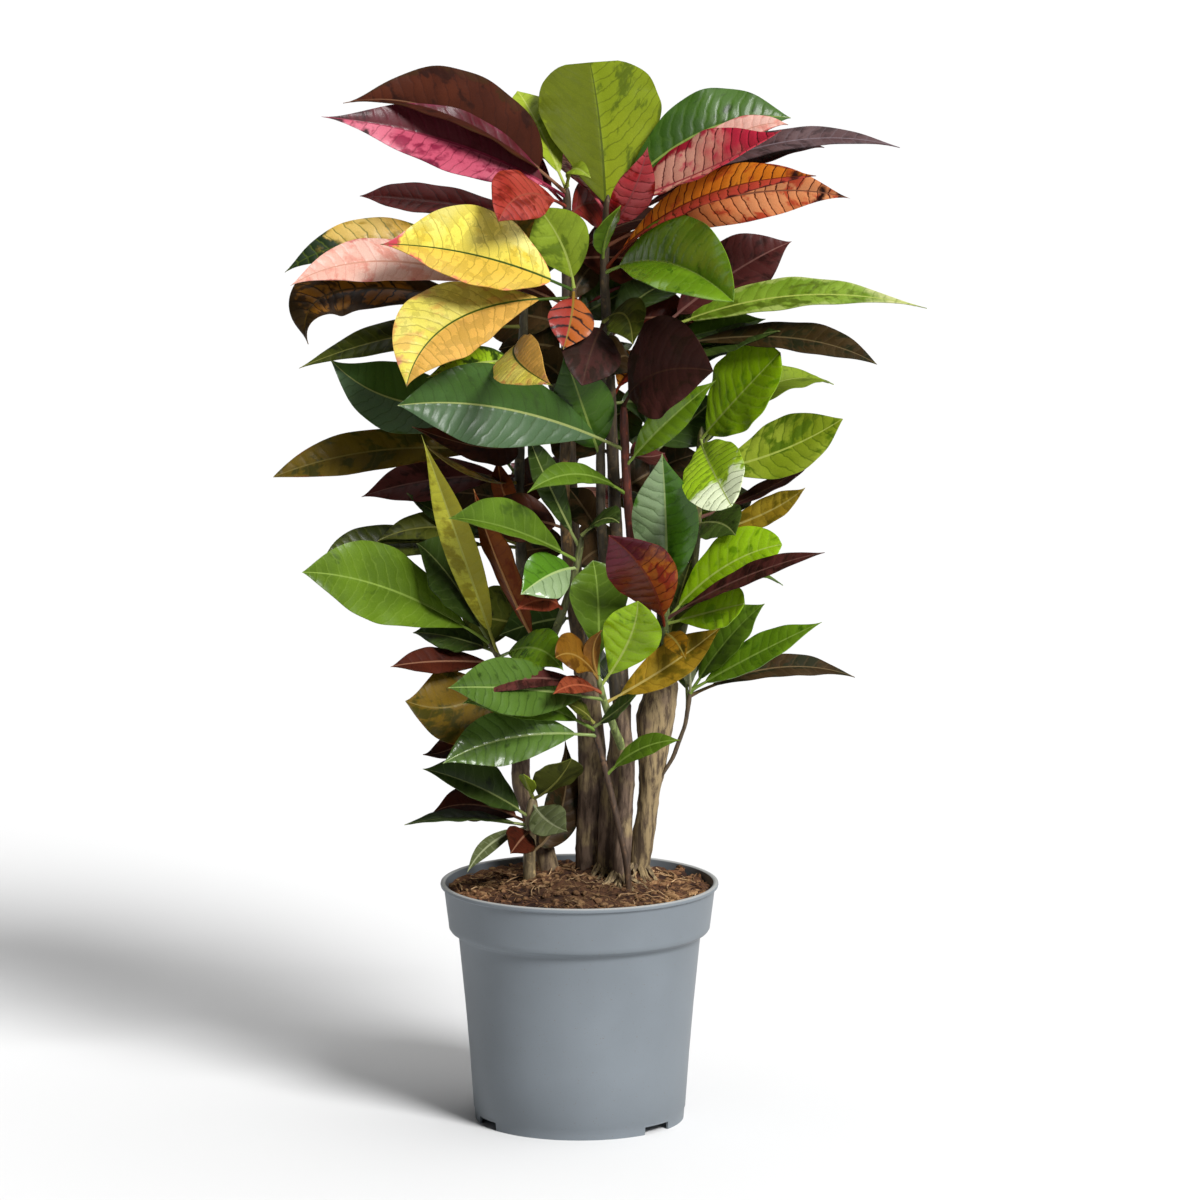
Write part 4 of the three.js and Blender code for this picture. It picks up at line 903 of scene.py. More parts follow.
def soil_material(name, dark, light):
    """Coir and peat: matt crumbs, damp and dark in the hollows and lighter where dry, and painted shade in
    front of the trunks.

    The grain is about 4 mm across, and the damp patches 38 mm.
    """
    material, tree = new_material(name)
    place = (add(tree, "TexCoord"), "Object")
    crumbs = add(tree, "TexNoise", {}, {"Vector": place, "Scale": 240.0, "Detail": 6.0, "Roughness": 0.7})
    damp = add(tree, "TexNoise", {}, {"Vector": place, "Scale": 26.0, "Detail": 2.0})
    both = add(tree, "Math", TIMES_PLUS, {0: damp, 1: 0.8, 2: crumbs})
    dry = add(tree, "MapRange", EASED, {"Value": both, "From Min": 0.72, "From Max": 1.08})
    colour = add(tree, "Mix", COLOURS, {"Factor": dry, "A": dark, "B": light})

    # It is darker in front of the trunks' feet: painted shade under the plant, mixed with the damp patches.
    away = add(tree, "VectorMath", {"operation": "DISTANCE"}, {0: place, 1: (0.0, -0.04, 0.165)})
    painted_canopy_shade = add(tree, "MapRange", EASED, {
        "Value": away, "From Min": 30 * MM, "From Max": 80 * MM, "To Min": 0.72, "To Max": 0.0,
    })
    # soaked holds the damp patches together with the painted shade.
    soaked = add(tree, "Math", TIMES_PLUS, {0: damp, 1: 0.5, 2: painted_canopy_shade})
    damp_and_painted_shade = add(tree, "MapRange", {}, {
        "Value": soaked, "From Min": 0.25, "From Max": 1.0, "To Max": 0.5,
    })
    colour = add(tree, "Mix", COLOURS, {"Factor": damp_and_painted_shade, "A": colour, "B": linear("#241610")})
    bump = add(tree, "Bump", {}, {"Strength": 0.9, "Distance": 1.2 * MM, "Height": crumbs})
    skin = add(tree, "BsdfPrincipled", {}, {
        "Base Color": colour, "Roughness": 0.95, "Normal": bump, "Specular IOR Level": 0.2,
    })
    add(tree, "OutputMaterial", {}, {"Surface": skin})
    return material


def pot_material(pot):
    """Moulded grey polypropylene: a soft sheen, faint flow marks, a little soil dust and a painted highlight
    on the lip's top.

    The flow marks are about 55 mm across, the specks of dust 1 mm and the grain 0.6 mm.
    """
    material, tree = new_material("pot_plastic")
    place = (add(tree, "TexCoord"), "Object")
    flow = add(tree, "TexNoise", {}, {"Vector": place, "Scale": 18.0, "Detail": 4.0})
    tone = add(tree, "MapRange", {}, {
        "Value": flow, "From Min": 0.3, "From Max": 0.7, "To Min": 0.94, "To Max": 1.05,
    })
    body = add(tree, "HueSaturation", {}, {"Color": pot.colour, "Value": tone})
    specks = add(tree, "TexNoise", {}, {"Vector": place, "Scale": 900.0, "Detail": 2.0})
    dusty = add(tree, "MapRange", EASED, {
        "Value": specks, "From Min": 0.68, "From Max": 0.74, "To Max": 0.5,
    })
    colour = add(tree, "Mix", COLOURS, {"Factor": dusty, "A": body, "B": linear("#6e5c4c")})

    # The lip's top is painted pale: a painted highlight where the overhead light catches it.
    height = add(tree, "SeparateXYZ", {}, {"Vector": place})
    lip = add(tree, "MapRange", {}, {
        "Value": (height, "Z"), "From Min": pot.height - 1.2 * MM, "From Max": pot.height - 0.2 * MM,
        "To Max": 0.75,
    })
    colour = add(tree, "Mix", COLOURS, {"Factor": lip, "A": colour, "B": linear("#b4b4b0")})
    grain = add(tree, "TexNoise", {}, {"Vector": place, "Scale": 1600.0})
    bump = add(tree, "Bump", {}, {"Strength": 0.12, "Distance": 0.05 * MM, "Height": grain})
    satin = add(tree, "MapRange", {}, {"Value": flow, "To Min": 0.36, "To Max": 0.5})
    skin = add(tree, "BsdfPrincipled", {}, {
        "Base Color": colour, "Roughness": satin, "Normal": bump, "Specular IOR Level": 0.2,
    })
    add(tree, "OutputMaterial", {}, {"Surface": skin})
    return material


# ------------------------------------------------------------------ leaves

def on_sight(x, z, y):
    """A point seen at (x, z) on the plant's middle plane, moved along the sight line to depth y."""
    share = (y - EYE[1]) / -EYE[1]
    return EYE + (np.array([x, 0.0, z]) - EYE) * share


def on_path(path, height):
    """The point of a stem's path at a height."""
    heights = [p[2] for p in path]
    height = min(max(height, heights[0]), heights[-1])
    return np.array([np.interp(height, heights, [p[axis] for p in path]) for axis in range(3)])


def unit(vector):
    return vector / np.linalg.norm(vector)


def leaf_of(root, tip, middle, **rest):
    """A leaf whose rib bows from root to tip through middle."""
    return {"root": root, "tip": tip, "pull": 2 * middle - (root + tip) / 2, **rest}


def seen_leaf(path, row, bend):
    """A leaf of the table, with its tip bent away from the viewer by some millimetres."""
    root_z, tip_x, tip_z, tip_y, mid_x, mid_z, width, lean, kind, blunt = row[:10]
    fold = row[10] if len(row) > 10 else FOLD
    root = on_path(path, root_z)
    tip = on_sight(tip_x, tip_z, tip_y + bend)
    middle = on_sight(mid_x, mid_z, (root[1] + tip_y + bend) / 2)
    return leaf_of(root, tip, middle, width=width, lean=lean, blunt=blunt, fold=fold, kind=kind)


def back_leaf(path, index, count, kind, bend):
    """One of the leaves behind a stem, with its tip raised and swung by a bend."""
    foot, top = path[0][2], path[-1][2]
    rise_bend, swing = bend
    root = on_path(path, top - BACK_START - (top - foot) * BACK_SPAN * index / count)
    turn = (index * GOLDEN_TURN + top) % BACK_FAN - BACK_FAN / 2
    angle = math.radians(90 + turn + swing)
    reach = BACK_REACH + 9 * ((index * 5 + top) % 6)
    rise = BACK_RISE - 6 * index + rise_bend
    tip = root + np.array([math.cos(angle) * reach, math.sin(angle) * reach, rise])
    middle = (root + tip) / 2 + np.array([0, 0, BACK_BOW])
    width = BACK_WIDTH + (index * 7 + top) % 12
    return leaf_of(
        root, tip, middle, width=width, lean=BACK_LEAN, blunt=BACK_BLUNT, fold=FOLD, kind=kind
    )


def settled(corners, shapes):
    """The first of a leaf's bent shapes whose tip is a corner of the CAD stem, or None."""
    for leaf in shapes:
        if np.abs(corners - leaf["tip"]).max(axis=1).min() < TIP_MATCH:
            return leaf
    return None


def leaves_of(name):
    """Every leaf that the CAD stem has, bent as it is there."""
    path, kinds = STEMS[name]["path"], STEMS[name]["behind"]
    corners = corners_of(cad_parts[f"{name}_leaves"].data) / MM
    found = [
        settled(corners, (seen_leaf(path, row, bend) for bend in DEPTH_BENDS))
        for row in STEMS[name]["leaves"]
    ]
    found += [
        settled(corners, (back_leaf(path, index, len(kinds), kind, bend) for bend in BACK_BENDS))
        for index, kind in enumerate(kinds)
    ]
    return [leaf for leaf in found if leaf]


def rib_point(leaf, t):
    """Points and headings on a leaf's rib at shares t of the way from root to tip."""
    t = t[:, None]
    root, pull, tip = leaf["root"], leaf["pull"], leaf["tip"]
    points = (1 - t) ** 2 * root + 2 * t * (1 - t) * pull + t ** 2 * tip
    heading = 2 * (1 - t) * (pull - root) + 2 * t * (tip - pull)
    return points, heading / np.linalg.norm(heading, axis=1, keepdims=True)


def sideways(leaf):
    """The sideways direction of a blade that leans over about its chord."""
    chord = unit(leaf["tip"] - leaf["root"])
    level = np.cross(chord, [0, 0, 1])
    level = unit(level) if np.linalg.norm(level) > 1e-3 else np.array([1.0, 0, 0])
    above = np.cross(level, chord)
    lean = math.radians(leaf["lean"])
    towards_eye = 1 if level[1] <= 0 else -1
    return np.cross(chord, above * math.cos(lean) + level * math.sin(lean) * towards_eye)


def rib_frame(leaf, t):
    """Points on the rib, with the sideways and upward directions of the blade there."""
    points, heading = rib_point(leaf, t)
    across = sideways(leaf)
    side = across - heading * (heading @ across)[:, None]
    side /= np.linalg.norm(side, axis=1, keepdims=True)
    return points, side, np.cross(side, heading)


def outline(s, blunt):
    """Half the width of a blade at share s of its length, as a part of the widest half."""
    belly = np.clip(np.sin(np.pi * s ** (1 + 0.5 * blunt)), 0, 1)
    return belly ** (0.8 - 0.25 * blunt ** 2 + (0.65 - 0.85 * blunt) * s * s)


# A blade has a row of points each ROW_LENGTH of its rib, and half the columns where it is
# narrow. Its rib is measured by that many stops.
ROW_LENGTH, LEAST_ROWS = 2.4, 14
BLADE_COLUMNS, NARROW = 16, 24
RIB_STOPS = 12

# Side veins run out at a slant, in millimetres along the rib for each one outwards, and curve
# forwards. They start elsewhere on each leaf, by up to VEIN_SHIFT spacings, and the blade
# swells between them in full from SWELL_FROM millimetres off the rib.
VEIN_SLANT, VEIN_CURVE = 0.42, 0.011
VEIN_SHIFT = 7
SWELL_FROM = 5

# A rib's rows and sides, the share of the leaf where it ends, how much finer and flatter it is
# there, the share of its radius that it is sunk by, and the stalk's swollen foot.
RIB_ROWS, RIB_SIDES = 18, 6
RIB_END = 0.96
RIB_TAPER, RIB_FLATTER = 0.72, 0.25
RIB_SUNK = 0.35
FOOT_SWELL, FOOT_LENGTH = 0.5, 0.04


def blade_sheet(leaf, spacing, quilt):
    """One blade as a sheet: folded along the rib, waved at the margin, swollen between veins."""
    stops, _headings = rib_point(leaf, np.linspace(PETIOLE, 1, RIB_STOPS))
    length = np.linalg.norm(np.diff(stops, axis=0), axis=1).sum()
    half_width = leaf["width"] / 2

    def place(u, v):
        points, side, up = rib_frame(leaf, PETIOLE + (1 - PETIOLE) * u)
        edge = 1 - 2 * v
        out = np.abs(edge)
        half = half_width * outline(u, leaf["blunt"])
        across = edge * half
        reach = np.abs(across)
        vein = (u * length - VEIN_SLANT * reach - VEIN_CURVE * reach ** 2) / spacing
        vein = vein + VEIN_SHIFT * leaf["own"]
        ripple = RIPPLE * half * np.sin(2 * np.pi * RIPPLE_WAVES * u + leaf["width"]) * edge * out
        turn = 2 * np.pi * (FRILL_WAVES * u + leaf["own"] + 0.3 * np.sign(edge))
        frill = FRILL * half * np.sin(turn) * out ** 3
        swell = quilt * (1 - np.cos(2 * np.pi * vein)) / 2
        swell = swell * np.clip(reach / SWELL_FROM, 0, 1) * (1 - out ** 6)
        lift = half * (leaf["fold"] * out - CUP * edge ** 2) + ripple + frill + swell
        placed = points + side * across[:, None] + up * lift[:, None]
        same = np.full_like(u, leaf["own"])
        return placed, {"share": u, "across": across, "edge": edge, "vein": vein, "own": same}

    rows = max(LEAST_ROWS, round(length / ROW_LENGTH))
    columns = BLADE_COLUMNS if leaf["width"] > NARROW else BLADE_COLUMNS // 2
    return shaped_grid(rows, columns, place)


def rib_tube(leaf, radius):
    """The leaf's stalk and the rib that it runs out into, fine at the tip."""
    def place(u, v):
        t = RIB_END * u
        points, side, up = rib_frame(leaf, t)
        onward = smooth(t, PETIOLE, 1)
        foot = 1 + FOOT_SWELL * np.exp(-((t / FOOT_LENGTH) ** 2))
        girth = radius * (1 - RIB_TAPER * onward) * foot
        turn = 2 * np.pi * v
        flat = 1 - RIB_FLATTER * onward
        sunk = -RIB_SUNK * radius * smooth(t, 0.5 * PETIOLE, 1.5 * PETIOLE)
        placed = points + side * (girth * np.cos(turn))[:, None]
        placed += up * (girth * flat * np.sin(turn) + sunk)[:, None]
        zero = np.zeros_like(u)
        share = np.clip((t - PETIOLE) / (1 - PETIOLE), 0, 1)
        same = np.full_like(u, leaf["own"])
        return placed, {"share": share, "across": zero, "edge": zero, "vein": zero + 0.5, "own": same}

    tube = shaped_grid(RIB_ROWS, RIB_SIDES, place)
    weld(tube, close=True, outwards=True)
    return tube


def grown_leaf(leaf, settings, material):
    """One leaf: its solid blade and its stalk and rib."""
    finish = settings.finishes[leaf["kind"]]
    sheet = blade_sheet(leaf, settings.blades.vein_spacing / MM, finish.quilt)
    weld(sheet)
    body = sheet.modifiers.new("thickness", "SOLIDIFY")
    body.thickness = settings.blades.thickness
    body.offset = 0
    select_only(sheet)
    bpy.ops.object.modifier_apply(modifier=body.name)
    shell = len(sheet.data.vertices) // 2
    carry(sheet, "below", np.repeat([0.0, 1.0], [shell, shell]))
    tube = rib_tube(leaf, settings.blades.rib_radius / MM)
    for piece in (sheet, tube):
        piece.data.materials.append(material)
    return [sheet, tube]


# ------------------------------------------------------------------ wood

# Wood has a row of points each WOOD_ROW of its height, and its kinks are rounded off over one
# of KINK_PARTS of it. Its ridges are four times as long as they are wide, it has a faint knot
# each KNOT_SPACING, and its top is domed over the last rows.
WOOD_ROW, WOOD_LEAST_ROWS = 4, 12
KINK_PARTS = 22
LENGTHWISE = 0.25
KNOT_SPACING, KNOT_SHARE, KNOT_HEIGHT = 19, 0.07, 0.45
DOME_ROWS = 3


def smooth_path(path, radii, rows):
    """Middle points and radii of a stem at equal heights, with its kinks rounded off."""
    heights = np.array([p[2] for p in path], float)
    fine = np.linspace(heights[0], heights[-1], rows)
    near = (heights[-1] - heights[0]) / KINK_PARTS
    centre = np.zeros((rows, 3))
    for step in (-1, 0, 1):
        shifted = np.clip(fine + step * near, heights[0], heights[-1])
        for axis in range(2):
            centre[:, axis] += np.interp(shifted, heights, [p[axis] for p in path]) / 3
    centre[:, 2] = fine
    return centre, np.interp(fine, heights, radii)


def wood_tube(path, radii, relief, size, sides):
    """A length of wood, with knots, and ridges of `relief` millimetres that run along it."""
    rows = max(WOOD_LEAST_ROWS, round((path[-1][2] - path[0][2]) / WOOD_ROW))
    centre, girth = smooth_path(path, radii, rows + 1)

    def place(u, v):
        row = np.rint(u * rows).astype(int)
        turn = 2 * np.pi * v
        around = np.stack([np.cos(turn), np.sin(turn), 0 * turn], axis=1)
        middle = centre[row]
        sample = middle * [1, 1, LENGTHWISE] + around * girth[row][:, None]
        ridges = fractal(sample + path[0][0], size)
        phase = (middle[:, 2] / KNOT_SPACING + 0.3 * np.sin(turn)) % 1 - 0.5
        knots = np.exp(-(phase / KNOT_SHARE) ** 2)
        radius = girth[row] + relief * ridges + KNOT_HEIGHT * relief * knots
        last = ((u - 1 + DOME_ROWS / rows) * rows / DOME_ROWS).clip(0, 1)
        dome = np.sqrt(np.clip(1 - last ** 2, 0.05, 1))
        return middle + around * (radius * dome)[:, None], {}

    tube = shaped_grid(rows, sides, place)
    weld(tube, close=True, outwards=True)
    return tube


# ------------------------------------------------------------------ pieces

LATHE_STEPS = 160
# The drain notches, in degrees from straight in front, and their block's sides.
NOTCH_TURNS = (48, -62, 173)
NOTCH_SIZE = (26, 10, 12)


def pot_profile(pot):
    """Radius and height along the pot's skin, from the middle of its base round to the inside."""
    rim, top, foot = pot.rim_radius / MM, pot.height / MM, pot.foot_radius / MM
    wall = pot.wall / MM
    return [
        (0, 3), (61.2, 3), (63.6, 8), (foot - wall, 8), (foot - wall, 0), (foot, 0),
        (foot + 0.7, 8.6), (foot + 1.2, 9.2), (foot + 4.1, 50), (foot + 7.3, 88), (91.4, 140.5),
        (92.1, 142.6), (94.0, 144.0), (97.4, 145.4), (98.6, 147.2), (98.9, 150),
        (102.2, top - 5.5), (102.6, top - 4.2), (103.8, top - 3.6),
        (rim - 0.3, top - 3.0), (rim, top - 1.8), (rim - 0.3, top - 0.6), (rim - 1.2, top - 0.1),
        (rim - 2.2, top), (102.2, top - 0.1), (101.2, top - 0.7), (100.9, top - 2.0),
        (97.1, 147), (90.2, 143.6), (89.9, 143), (foot - wall / 2, 8 + wall), (66, 8 + wall),
        (64.4, 3 + wall), (0, 3 + wall),
    ]


def lathed(name, profile):
    """Turns a profile of radii and heights in millimetres about the upright axis."""
    mesh = bpy.data.meshes.new(name)
    corners = [(radius * MM, 0, height * MM) for radius, height in profile]
    mesh.from_pydata(corners, [(i, i + 1) for i in range(len(corners) - 1)], [])
    piece = new_piece(name, mesh)
    select_only(piece)
    turn = piece.modifiers.new("lathe", "SCREW")
    turn.steps = turn.render_steps = LATHE_STEPS
    turn.use_merge_vertices = True
    turn.merge_threshold = WELD / 2
    turn.use_normal_calculate = True
    bpy.ops.object.modifier_apply(modifier=turn.name)
    weld(piece, outwards=True)
    return piece


def notched(pot, turn, radius):
    """Cuts a drain notch out of the pot's foot at a turn in degrees from straight in front."""
    angle = math.radians(turn - 90)
    bpy.ops.mesh.primitive_cube_add(
        size=MM, location=(radius * math.cos(angle), radius * math.sin(angle), 0),
        rotation=(0, 0, math.radians(turn)), scale=NOTCH_SIZE,
    )
    block = bpy.context.object
    select_only(pot)
    cut = pot.modifiers.new("notch", "BOOLEAN")
    cut.operation = "DIFFERENCE"
    cut.object = block
    bpy.ops.object.modifier_apply(modifier=cut.name)
    bpy.data.objects.remove(block)


# The soil: the height of its edge, how far it is mounded, lumpy and heaped at the trunks, the
# trunks' feet as x, y and radius, its side and base as radius and height, and its plug's rows
# and sides, of which the top has a share.
SOIL_EDGE, SOIL_MOUND, SOIL_LUMP, SOIL_HEAP = 175, 8, 1.6, 3.2
TRUNK_FEET = [(*trunk["path"][1][:2], trunk["radii"][1]) for trunk in TRUNKS.values()]
SOIL_WALL = [(100.2, SOIL_EDGE - 1), (96.8, 147.6), (89.2, 144.2), (77.6, 10.2), (0, 5)]
SOIL_ROWS, SOIL_SIDES, SOIL_TOP_SHARE = 84, 190, 0.84


def soil_height(x, y):
    """The top of the soil without its crumbs: mounded in the middle and heaped at the trunks."""
    radius = np.hypot(x, y)
    lumps = np.sin(x * 0.21 + 1.3) * np.cos(y * 0.17 - 0.6) + 0.6 * np.sin(0.11 * (x - 2 * y))
    height = SOIL_EDGE + SOIL_MOUND * np.exp(-((radius / 60) ** 2)) + SOIL_LUMP * lumps
    for foot_x, foot_y, foot_radius in TRUNK_FEET:
        away = np.hypot(x - foot_x, y - foot_y) - foot_radius
        height = height + SOIL_HEAP * np.exp(-((np.clip(away, 0, None) / 7) ** 2))
    return height


def soil_level(x, y):
    """The soil's height at one place."""
    return float(soil_height(np.array(x), np.array(y)))


def soil_plug():
    """The soil's body: a crumbly top, and a plug that fills the pot below it."""
    stops = np.arange(len(SOIL_WALL))
    radii, heights = zip(*SOIL_WALL)

    def place(u, v):
        inward = np.clip((u - SOIL_TOP_SHARE) / (1 - SOIL_TOP_SHARE), 0, 1) * stops[-1]
        below = u > SOIL_TOP_SHARE
        radius = np.where(below, np.interp(inward, stops, radii), radii[0] * u / SOIL_TOP_SHARE)
        x, y = radius * np.cos(2 * np.pi * v), radius * np.sin(2 * np.pi * v)
        flat = np.stack([x, y, np.zeros_like(x)], axis=1)
        level = soil_height(x, y) + 2.1 * fractal(flat, 13) + 1.3 * fractal(flat + 50, 4.5)
        z = np.where(below, np.interp(inward, stops, heights), level)
        return np.stack([x, y, z], axis=1), {}

    plug = shaped_grid(SOIL_ROWS, SOIL_SIDES, place)
    weld(plug)
    return plug


# How far from the middle the loose things reach, the seeds that scatter them, the steps that
# a strand has, and its radius.
CRUMB_REACH, FIBRE_REACH, ROOTLET_REACH, WALL_FROM = 99, 96, 92, 97
CRUMB_SEED, FIBRE_SEED, ROOTLET_SEED = 11, 5, 23
FIBRE_STEPS, ROOTLET_STEPS, FLARE_STEPS = 5, 7, 5
FIBRE_RADIUS, ROOTLET_RADIUS, FLARE_RADIUS = 0.28, 0.55, 2.1
FLARE_ROOTS, FLARE_RISE = 9, 7.5


def scattered(rng, reach):
    """A seeded place on the soil, in millimetres."""
    while True:
        x, y = rng.uniform(-reach, reach), rng.uniform(-reach, reach)
        if math.hypot(x, y) < reach:
            return x, y, soil_level(x, y)


def soil_crumbs(count):
    """Loose crumbs and chips of coir, each a squashed stone of 20 faces."""
    rng = random.Random(CRUMB_SEED)
    bpy.ops.mesh.primitive_ico_sphere_add(subdivisions=1, radius=1)
    stone = bpy.context.object
    shape = corners_of(stone.data)
    faces = np.array([list(face.vertices) for face in stone.data.polygons])
    bpy.data.objects.remove(stone)
    corners, sides = [], []
    for index in range(count):
        x, y, z = scattered(rng, CRUMB_REACH)
        size = rng.choice([0.9, 1.2, 1.6, 2.2, 3.0]) * rng.uniform(0.7, 1.2)
        turn = rng.uniform(0, 2 * math.pi)
        stretch = np.array([rng.uniform(0.7, 1.9), rng.uniform(0.5, 1.0), rng.uniform(0.4, 0.8)]) * size
        rough = shape * stretch * [[rng.uniform(0.8, 1.2)] for _ in shape]
        cos, sin = math.cos(turn), math.sin(turn)
        rough = rough @ np.array([[cos, sin, 0], [-sin, cos, 0], [0, 0, 1]])
        sides.append(faces + index * len(shape))
        corners.append(rough + [x, y, z + 0.5 * stretch[2]])
    mesh = bpy.data.meshes.new("crumbs")
    mesh.from_pydata((np.concatenate(corners) * MM).tolist(), [], np.concatenate(sides).tolist())
    return new_piece("crumbs", mesh)


def strands(name, lines, radius):
    """Thin round strands along lines of points in millimetres, finer towards their ends."""
    curve = bpy.data.curves.new(name, "CURVE")
    curve.dimensions = "3D"
    curve.bevel_depth = radius * MM
    curve.bevel_resolution = 0
    curve.use_fill_caps = True
    for line in lines:
        spline = curve.splines.new("POLY")
        spline.points.add(len(line) - 1)
        for index, point in enumerate(line):
            spline.points[index].co = (*(coordinate * MM for coordinate in point), 1)
            spline.points[index].radius = 1 - 0.6 * index / (len(line) - 1)
    select_only(new_piece(name, curve))
    bpy.ops.object.convert(target="MESH")
    return bpy.context.object


def soil_fibres(count):
    """Fine coir fibres that lie about on the soil and arch off it."""
    rng = random.Random(FIBRE_SEED)
    lines = []
    for _ in range(count):
        x, y, z = scattered(rng, FIBRE_REACH)
        length = rng.uniform(5, 17)
        turn = rng.uniform(0, 2 * math.pi)
        curl = rng.uniform(-1.4, 1.4)
        arch = rng.uniform(0, 0.28) * length
        line = []
        for step in range(FIBRE_STEPS + 1):
            share = step / FIBRE_STEPS
            line.append((x, y, z + 0.6 + arch * math.sin(math.pi * share)))
            x += length / FIBRE_STEPS * math.cos(turn + curl * share)
            y += length / FIBRE_STEPS * math.sin(turn + curl * share)
            z = soil_level(x, y) if math.hypot(x, y) < WALL_FROM else z
        lines.append([p for p in line if math.hypot(p[0], p[1]) < CRUMB_REACH] or line[:2])
    return strands("fibres", [line for line in lines if len(line) > 1], FIBRE_RADIUS)


def rootlets(count):
    """Pale rootlets that wander over the soil, and those that flare from the trunks' feet."""
    rng = random.Random(ROOTLET_SEED)
    lines = []
    for _ in range(count):
        x, y = scattered(rng, ROOTLET_REACH)[:2]
        turn = rng.uniform(0, 2 * math.pi)
        length = rng.uniform(14, 34)
        line = []
        for step in range(ROOTLET_STEPS + 1):
            line.append((x, y, soil_level(x, y) + rng.uniform(0.6, 2.6)))
            turn += rng.uniform(-0.5, 0.5)
            x += length / ROOTLET_STEPS * math.cos(turn)
            y += length / ROOTLET_STEPS * math.sin(turn)
        lines.append([p for p in line if math.hypot(p[0], p[1]) < WALL_FROM])
    fine = strands("rootlets", [line for line in lines if len(line) > 3], ROOTLET_RADIUS)
    flares = []
    for foot_x, foot_y, foot_radius in TRUNK_FEET[2:]:
        for index in range(FLARE_ROOTS):
            turn = math.radians(200 + 17 * index + rng.uniform(-9, 9))
            reach = rng.uniform(8, 20)
            line = []
            for step in range(FLARE_STEPS + 1):
                out = foot_radius * 0.7 + reach * step / FLARE_STEPS
                x, y = foot_x + out * math.cos(turn), foot_y + out * math.sin(turn)
                line.append((x, y, soil_level(x, y) + FLARE_RISE * (1 - step / FLARE_STEPS) ** 2.2))
                turn += rng.uniform(-0.12, 0.12)
            flares.append(line)
    return fine, strands("root_flare", flares, FLARE_RADIUS)


def stem_piece(name, settings, materials):
    """One leafy stem: its young wood with every leaf that the CAD stem has."""
    stem = STEMS[name]
    heights = [p[2] for p in stem["path"]]
    radii = np.interp(heights, [heights[0], heights[-1]], stem["radii"])
    wood = wood_tube(stem["path"], radii, relief=0.35, size=7, sides=14)
    wood.data.materials.append(young_wood_material(f"young_wood_{name}", stem["wood"]))
    parts = [wood]
    rng = random.Random(name)
    for leaf in leaves_of(name):
        leaf["own"] = rng.random()
        parts += grown_leaf(leaf, settings, materials[leaf["kind"]])
    return joined(name, parts)


# ------------------------------------------------------------------ operators

class CROTON_OT_pot(bpy.types.Operator):
    """Turns the pot, rolls its lip and cuts the drain notches in its foot."""

    bl_idname = "croton.pot"
    bl_label = "Pot"

    def execute(self, context):
        settings = context.scene.croton.pot
        pot = lathed("nursery_pot", pot_profile(settings))
        for turn in NOTCH_TURNS:
            notched(pot, turn, settings.foot_radius)
        pot.data.materials.append(pot_material(settings))
        select_only(pot)
        bpy.ops.object.shade_smooth_by_angle(angle=math.radians(40))
        hand_over(pot, "pot_plastic", "pot")
        return {"FINISHED"}


class CROTON_OT_soil(bpy.types.Operator):
    """Fills the pot with coir and peat, with crumbs and fibres on the top."""

    bl_idname = "croton.soil"
    bl_label = "Soil"

    def execute(self, context):
        settings = context.scene.croton.soil
        parts = [soil_plug(), soil_crumbs(settings.crumbs), soil_fibres(settings.fibres)]
        parts += rootlets(settings.rootlets)
        skins = [
            soil_material("peat", settings.peat, settings.coir),
            soil_material("coir", settings.coir, settings.fibre),
            soil_material("fibre", settings.coir, settings.fibre),
            soil_material("rootlet", linear("#a88660"), linear("#d8b488")),
            bark_material("root_bark", context.scene.croton.bark, 0.9),
        ]
        for part, skin in zip(parts, skins):
            part.data.materials.append(skin)
        soil = joined("potting_soil", parts)
        bpy.ops.object.shade_smooth_by_angle(angle=math.radians(50))
        hand_over(soil, "soil", "soil")
        return {"FINISHED"}


BARK_ROOM = 0.3  # what the ridges need within the trunk's own radius


class CROTON_OT_trunks(bpy.types.Operator):
    """Raises the woody trunks, with ridged and cracked bark."""

    bl_idname = "croton.trunks"
    bl_label = "Trunks"

    def execute(self, context):
        bark = context.scene.croton.bark
        old, pale = bark_material("old_bark", bark, 0.1), bark_material("pale_bark", bark, 0.9)
        for name, trunk in TRUNKS.items():
            radii = [radius - BARK_ROOM for radius in trunk["radii"]]
            tube = wood_tube(trunk["path"], radii, relief=bark.relief / MM, size=9, sides=40)
            tube.data.materials.append(pale if name == "trunk_right" else old)
            piece = joined(f"bark_{name}", [tube])
            bpy.ops.object.shade_smooth_by_angle(angle=math.radians(50))
            hand_over(piece, "bark", name)
        return {"FINISHED"}


class CROTON_OT_leafy_stems(bpy.types.Operator):
    """Grows the leafy stems, blade by blade, with a waxy material for each kind of blade."""

    bl_idname = "croton.leafy_stems"
    bl_label = "Leafy stems"

    def execute(self, context):
        settings = context.scene.croton
        materials = {finish.name: blade_material(finish) for finish in settings.finishes}
        for name, stem in STEMS.items():
            piece = stem_piece(name, settings, materials)
            bpy.ops.object.shade_smooth_by_angle(angle=math.radians(60))
            hand_over(piece, stem["slot"], f"{name}_leaves")
        return {"FINISHED"}


# Each light's name, strength, spread in degrees and the direction that it comes from.
STUDIO_LIGHTS = [
    ("key", 4.4, 20, (0.60, -0.80, 0.78)),
    ("overhead", 1.5, 60, (0.25, 0.1, 1.0)),
]
FLOOR_SIZE, FLOOR_COLOUR = 120, (0.74, 0.74, 0.74, 1.0)
SKY_COLOUR, SKY_STRENGTH = (0.97, 0.985, 1.0, 1.0), 0.06
CAMERA_LENS, CAMERA_TILT = 202.6, 80.73  # millimetres, and degrees from straight down


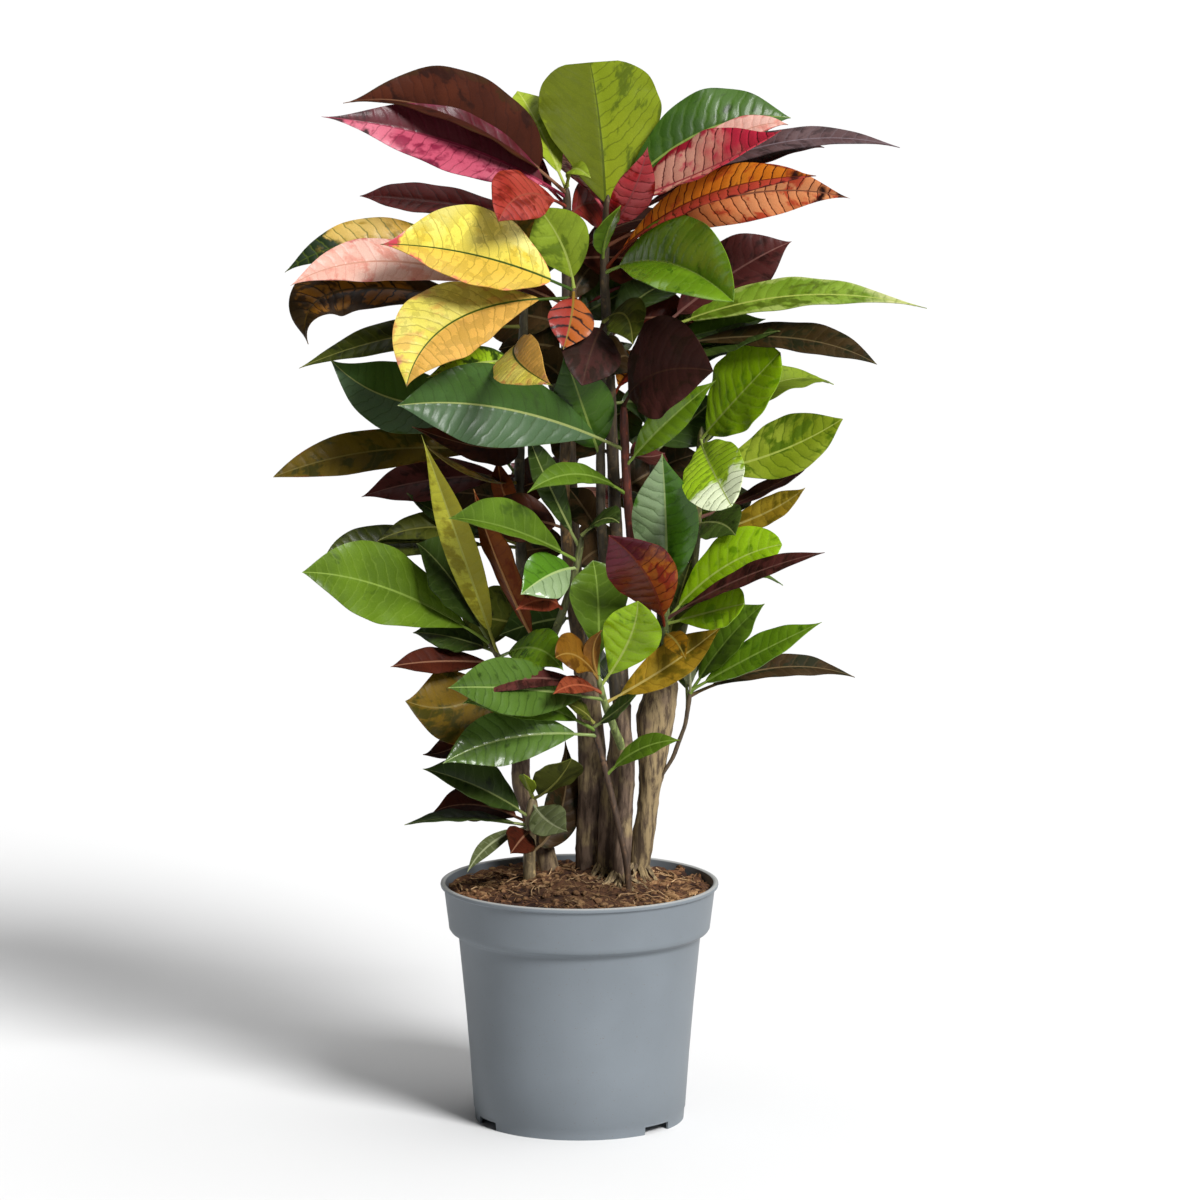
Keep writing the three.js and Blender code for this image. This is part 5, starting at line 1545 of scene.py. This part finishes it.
class CROTON_OT_stage(bpy.types.Operator):
    """Sets the pale floor, the soft studio light and the camera."""

    bl_idname = "croton.stage"
    bl_label = "Stage"

    def execute(self, context):
        scene = context.scene
        bpy.ops.mesh.primitive_plane_add(size=FLOOR_SIZE)
        floor = bpy.context.object
        floor.name = "floor"
        material, tree = new_material("floor_white")
        add(tree, "OutputMaterial", {}, {
            "Surface": add(tree, "BsdfDiffuse", {}, {"Color": FLOOR_COLOUR}),
        })
        floor.data.materials.append(material)

        world = bpy.data.worlds.new("studio")
        world.use_nodes = True
        sky = world.node_tree.nodes["Background"]
        sky.inputs["Color"].default_value = SKY_COLOUR
        sky.inputs["Strength"].default_value = SKY_STRENGTH
        scene.world = world

        for name, energy, spread, towards in STUDIO_LIGHTS:
            light = bpy.data.lights.new(name, "SUN")
            light.energy = energy
            light.angle = math.radians(spread)
            lamp = bpy.data.objects.new(name, light)
            lamp.rotation_euler = Vector(towards).to_track_quat("Z", "Y").to_euler()
            scene.collection.objects.link(lamp)

        camera = bpy.data.cameras.new("camera")
        camera.lens = CAMERA_LENS
        camera.sensor_width = 36
        viewer = bpy.data.objects.new("camera", camera)
        viewer.location = EYE * MM
        viewer.rotation_euler = (math.radians(CAMERA_TILT), 0, 0)
        scene.collection.objects.link(viewer)
        scene.camera = viewer
        scene.view_settings.view_transform = "Standard"
        return {"FINISHED"}


class CROTON_PT_panel(bpy.types.Panel):
    """The croton's sizes, colours and steps."""

    bl_idname = "CROTON_PT_panel"
    bl_label = "Croton"
    bl_space_type = "VIEW_3D"
    bl_region_type = "UI"
    bl_category = "Croton"

    def draw(self, context):
        settings = context.scene.croton
        for group in (settings.pot, settings.soil, settings.bark, settings.blades, *settings.finishes):
            box = self.layout.box()
            if group.name:
                box.label(text=group.name)
            for name in group.__annotations__:
                box.prop(group, name)
        for step in STEPS:
            self.layout.operator(step.bl_idname)


STEPS = (CROTON_OT_stage, CROTON_OT_pot, CROTON_OT_soil, CROTON_OT_trunks, CROTON_OT_leafy_stems)
CLASSES = (
    PotSettings, SoilSettings, BarkSettings, BladeSettings, BladeFinish, CrotonSettings,
    *STEPS, CROTON_PT_panel,
)


def register():
    for cls in CLASSES:
        bpy.utils.register_class(cls)
    bpy.types.Scene.croton = bpy.props.PointerProperty(type=CrotonSettings)


def unregister():
    del bpy.types.Scene.croton
    for cls in reversed(CLASSES):
        bpy.utils.unregister_class(cls)


def main():
    register()
    fill_finishes(bpy.context.scene.croton)
    bpy.ops.object.select_all(action="DESELECT")
    bpy.ops.croton.stage()
    bpy.ops.croton.pot()
    bpy.ops.croton.soil()
    bpy.ops.croton.trunks()
    bpy.ops.croton.leafy_stems()


if __name__ == "__main__":
    main()
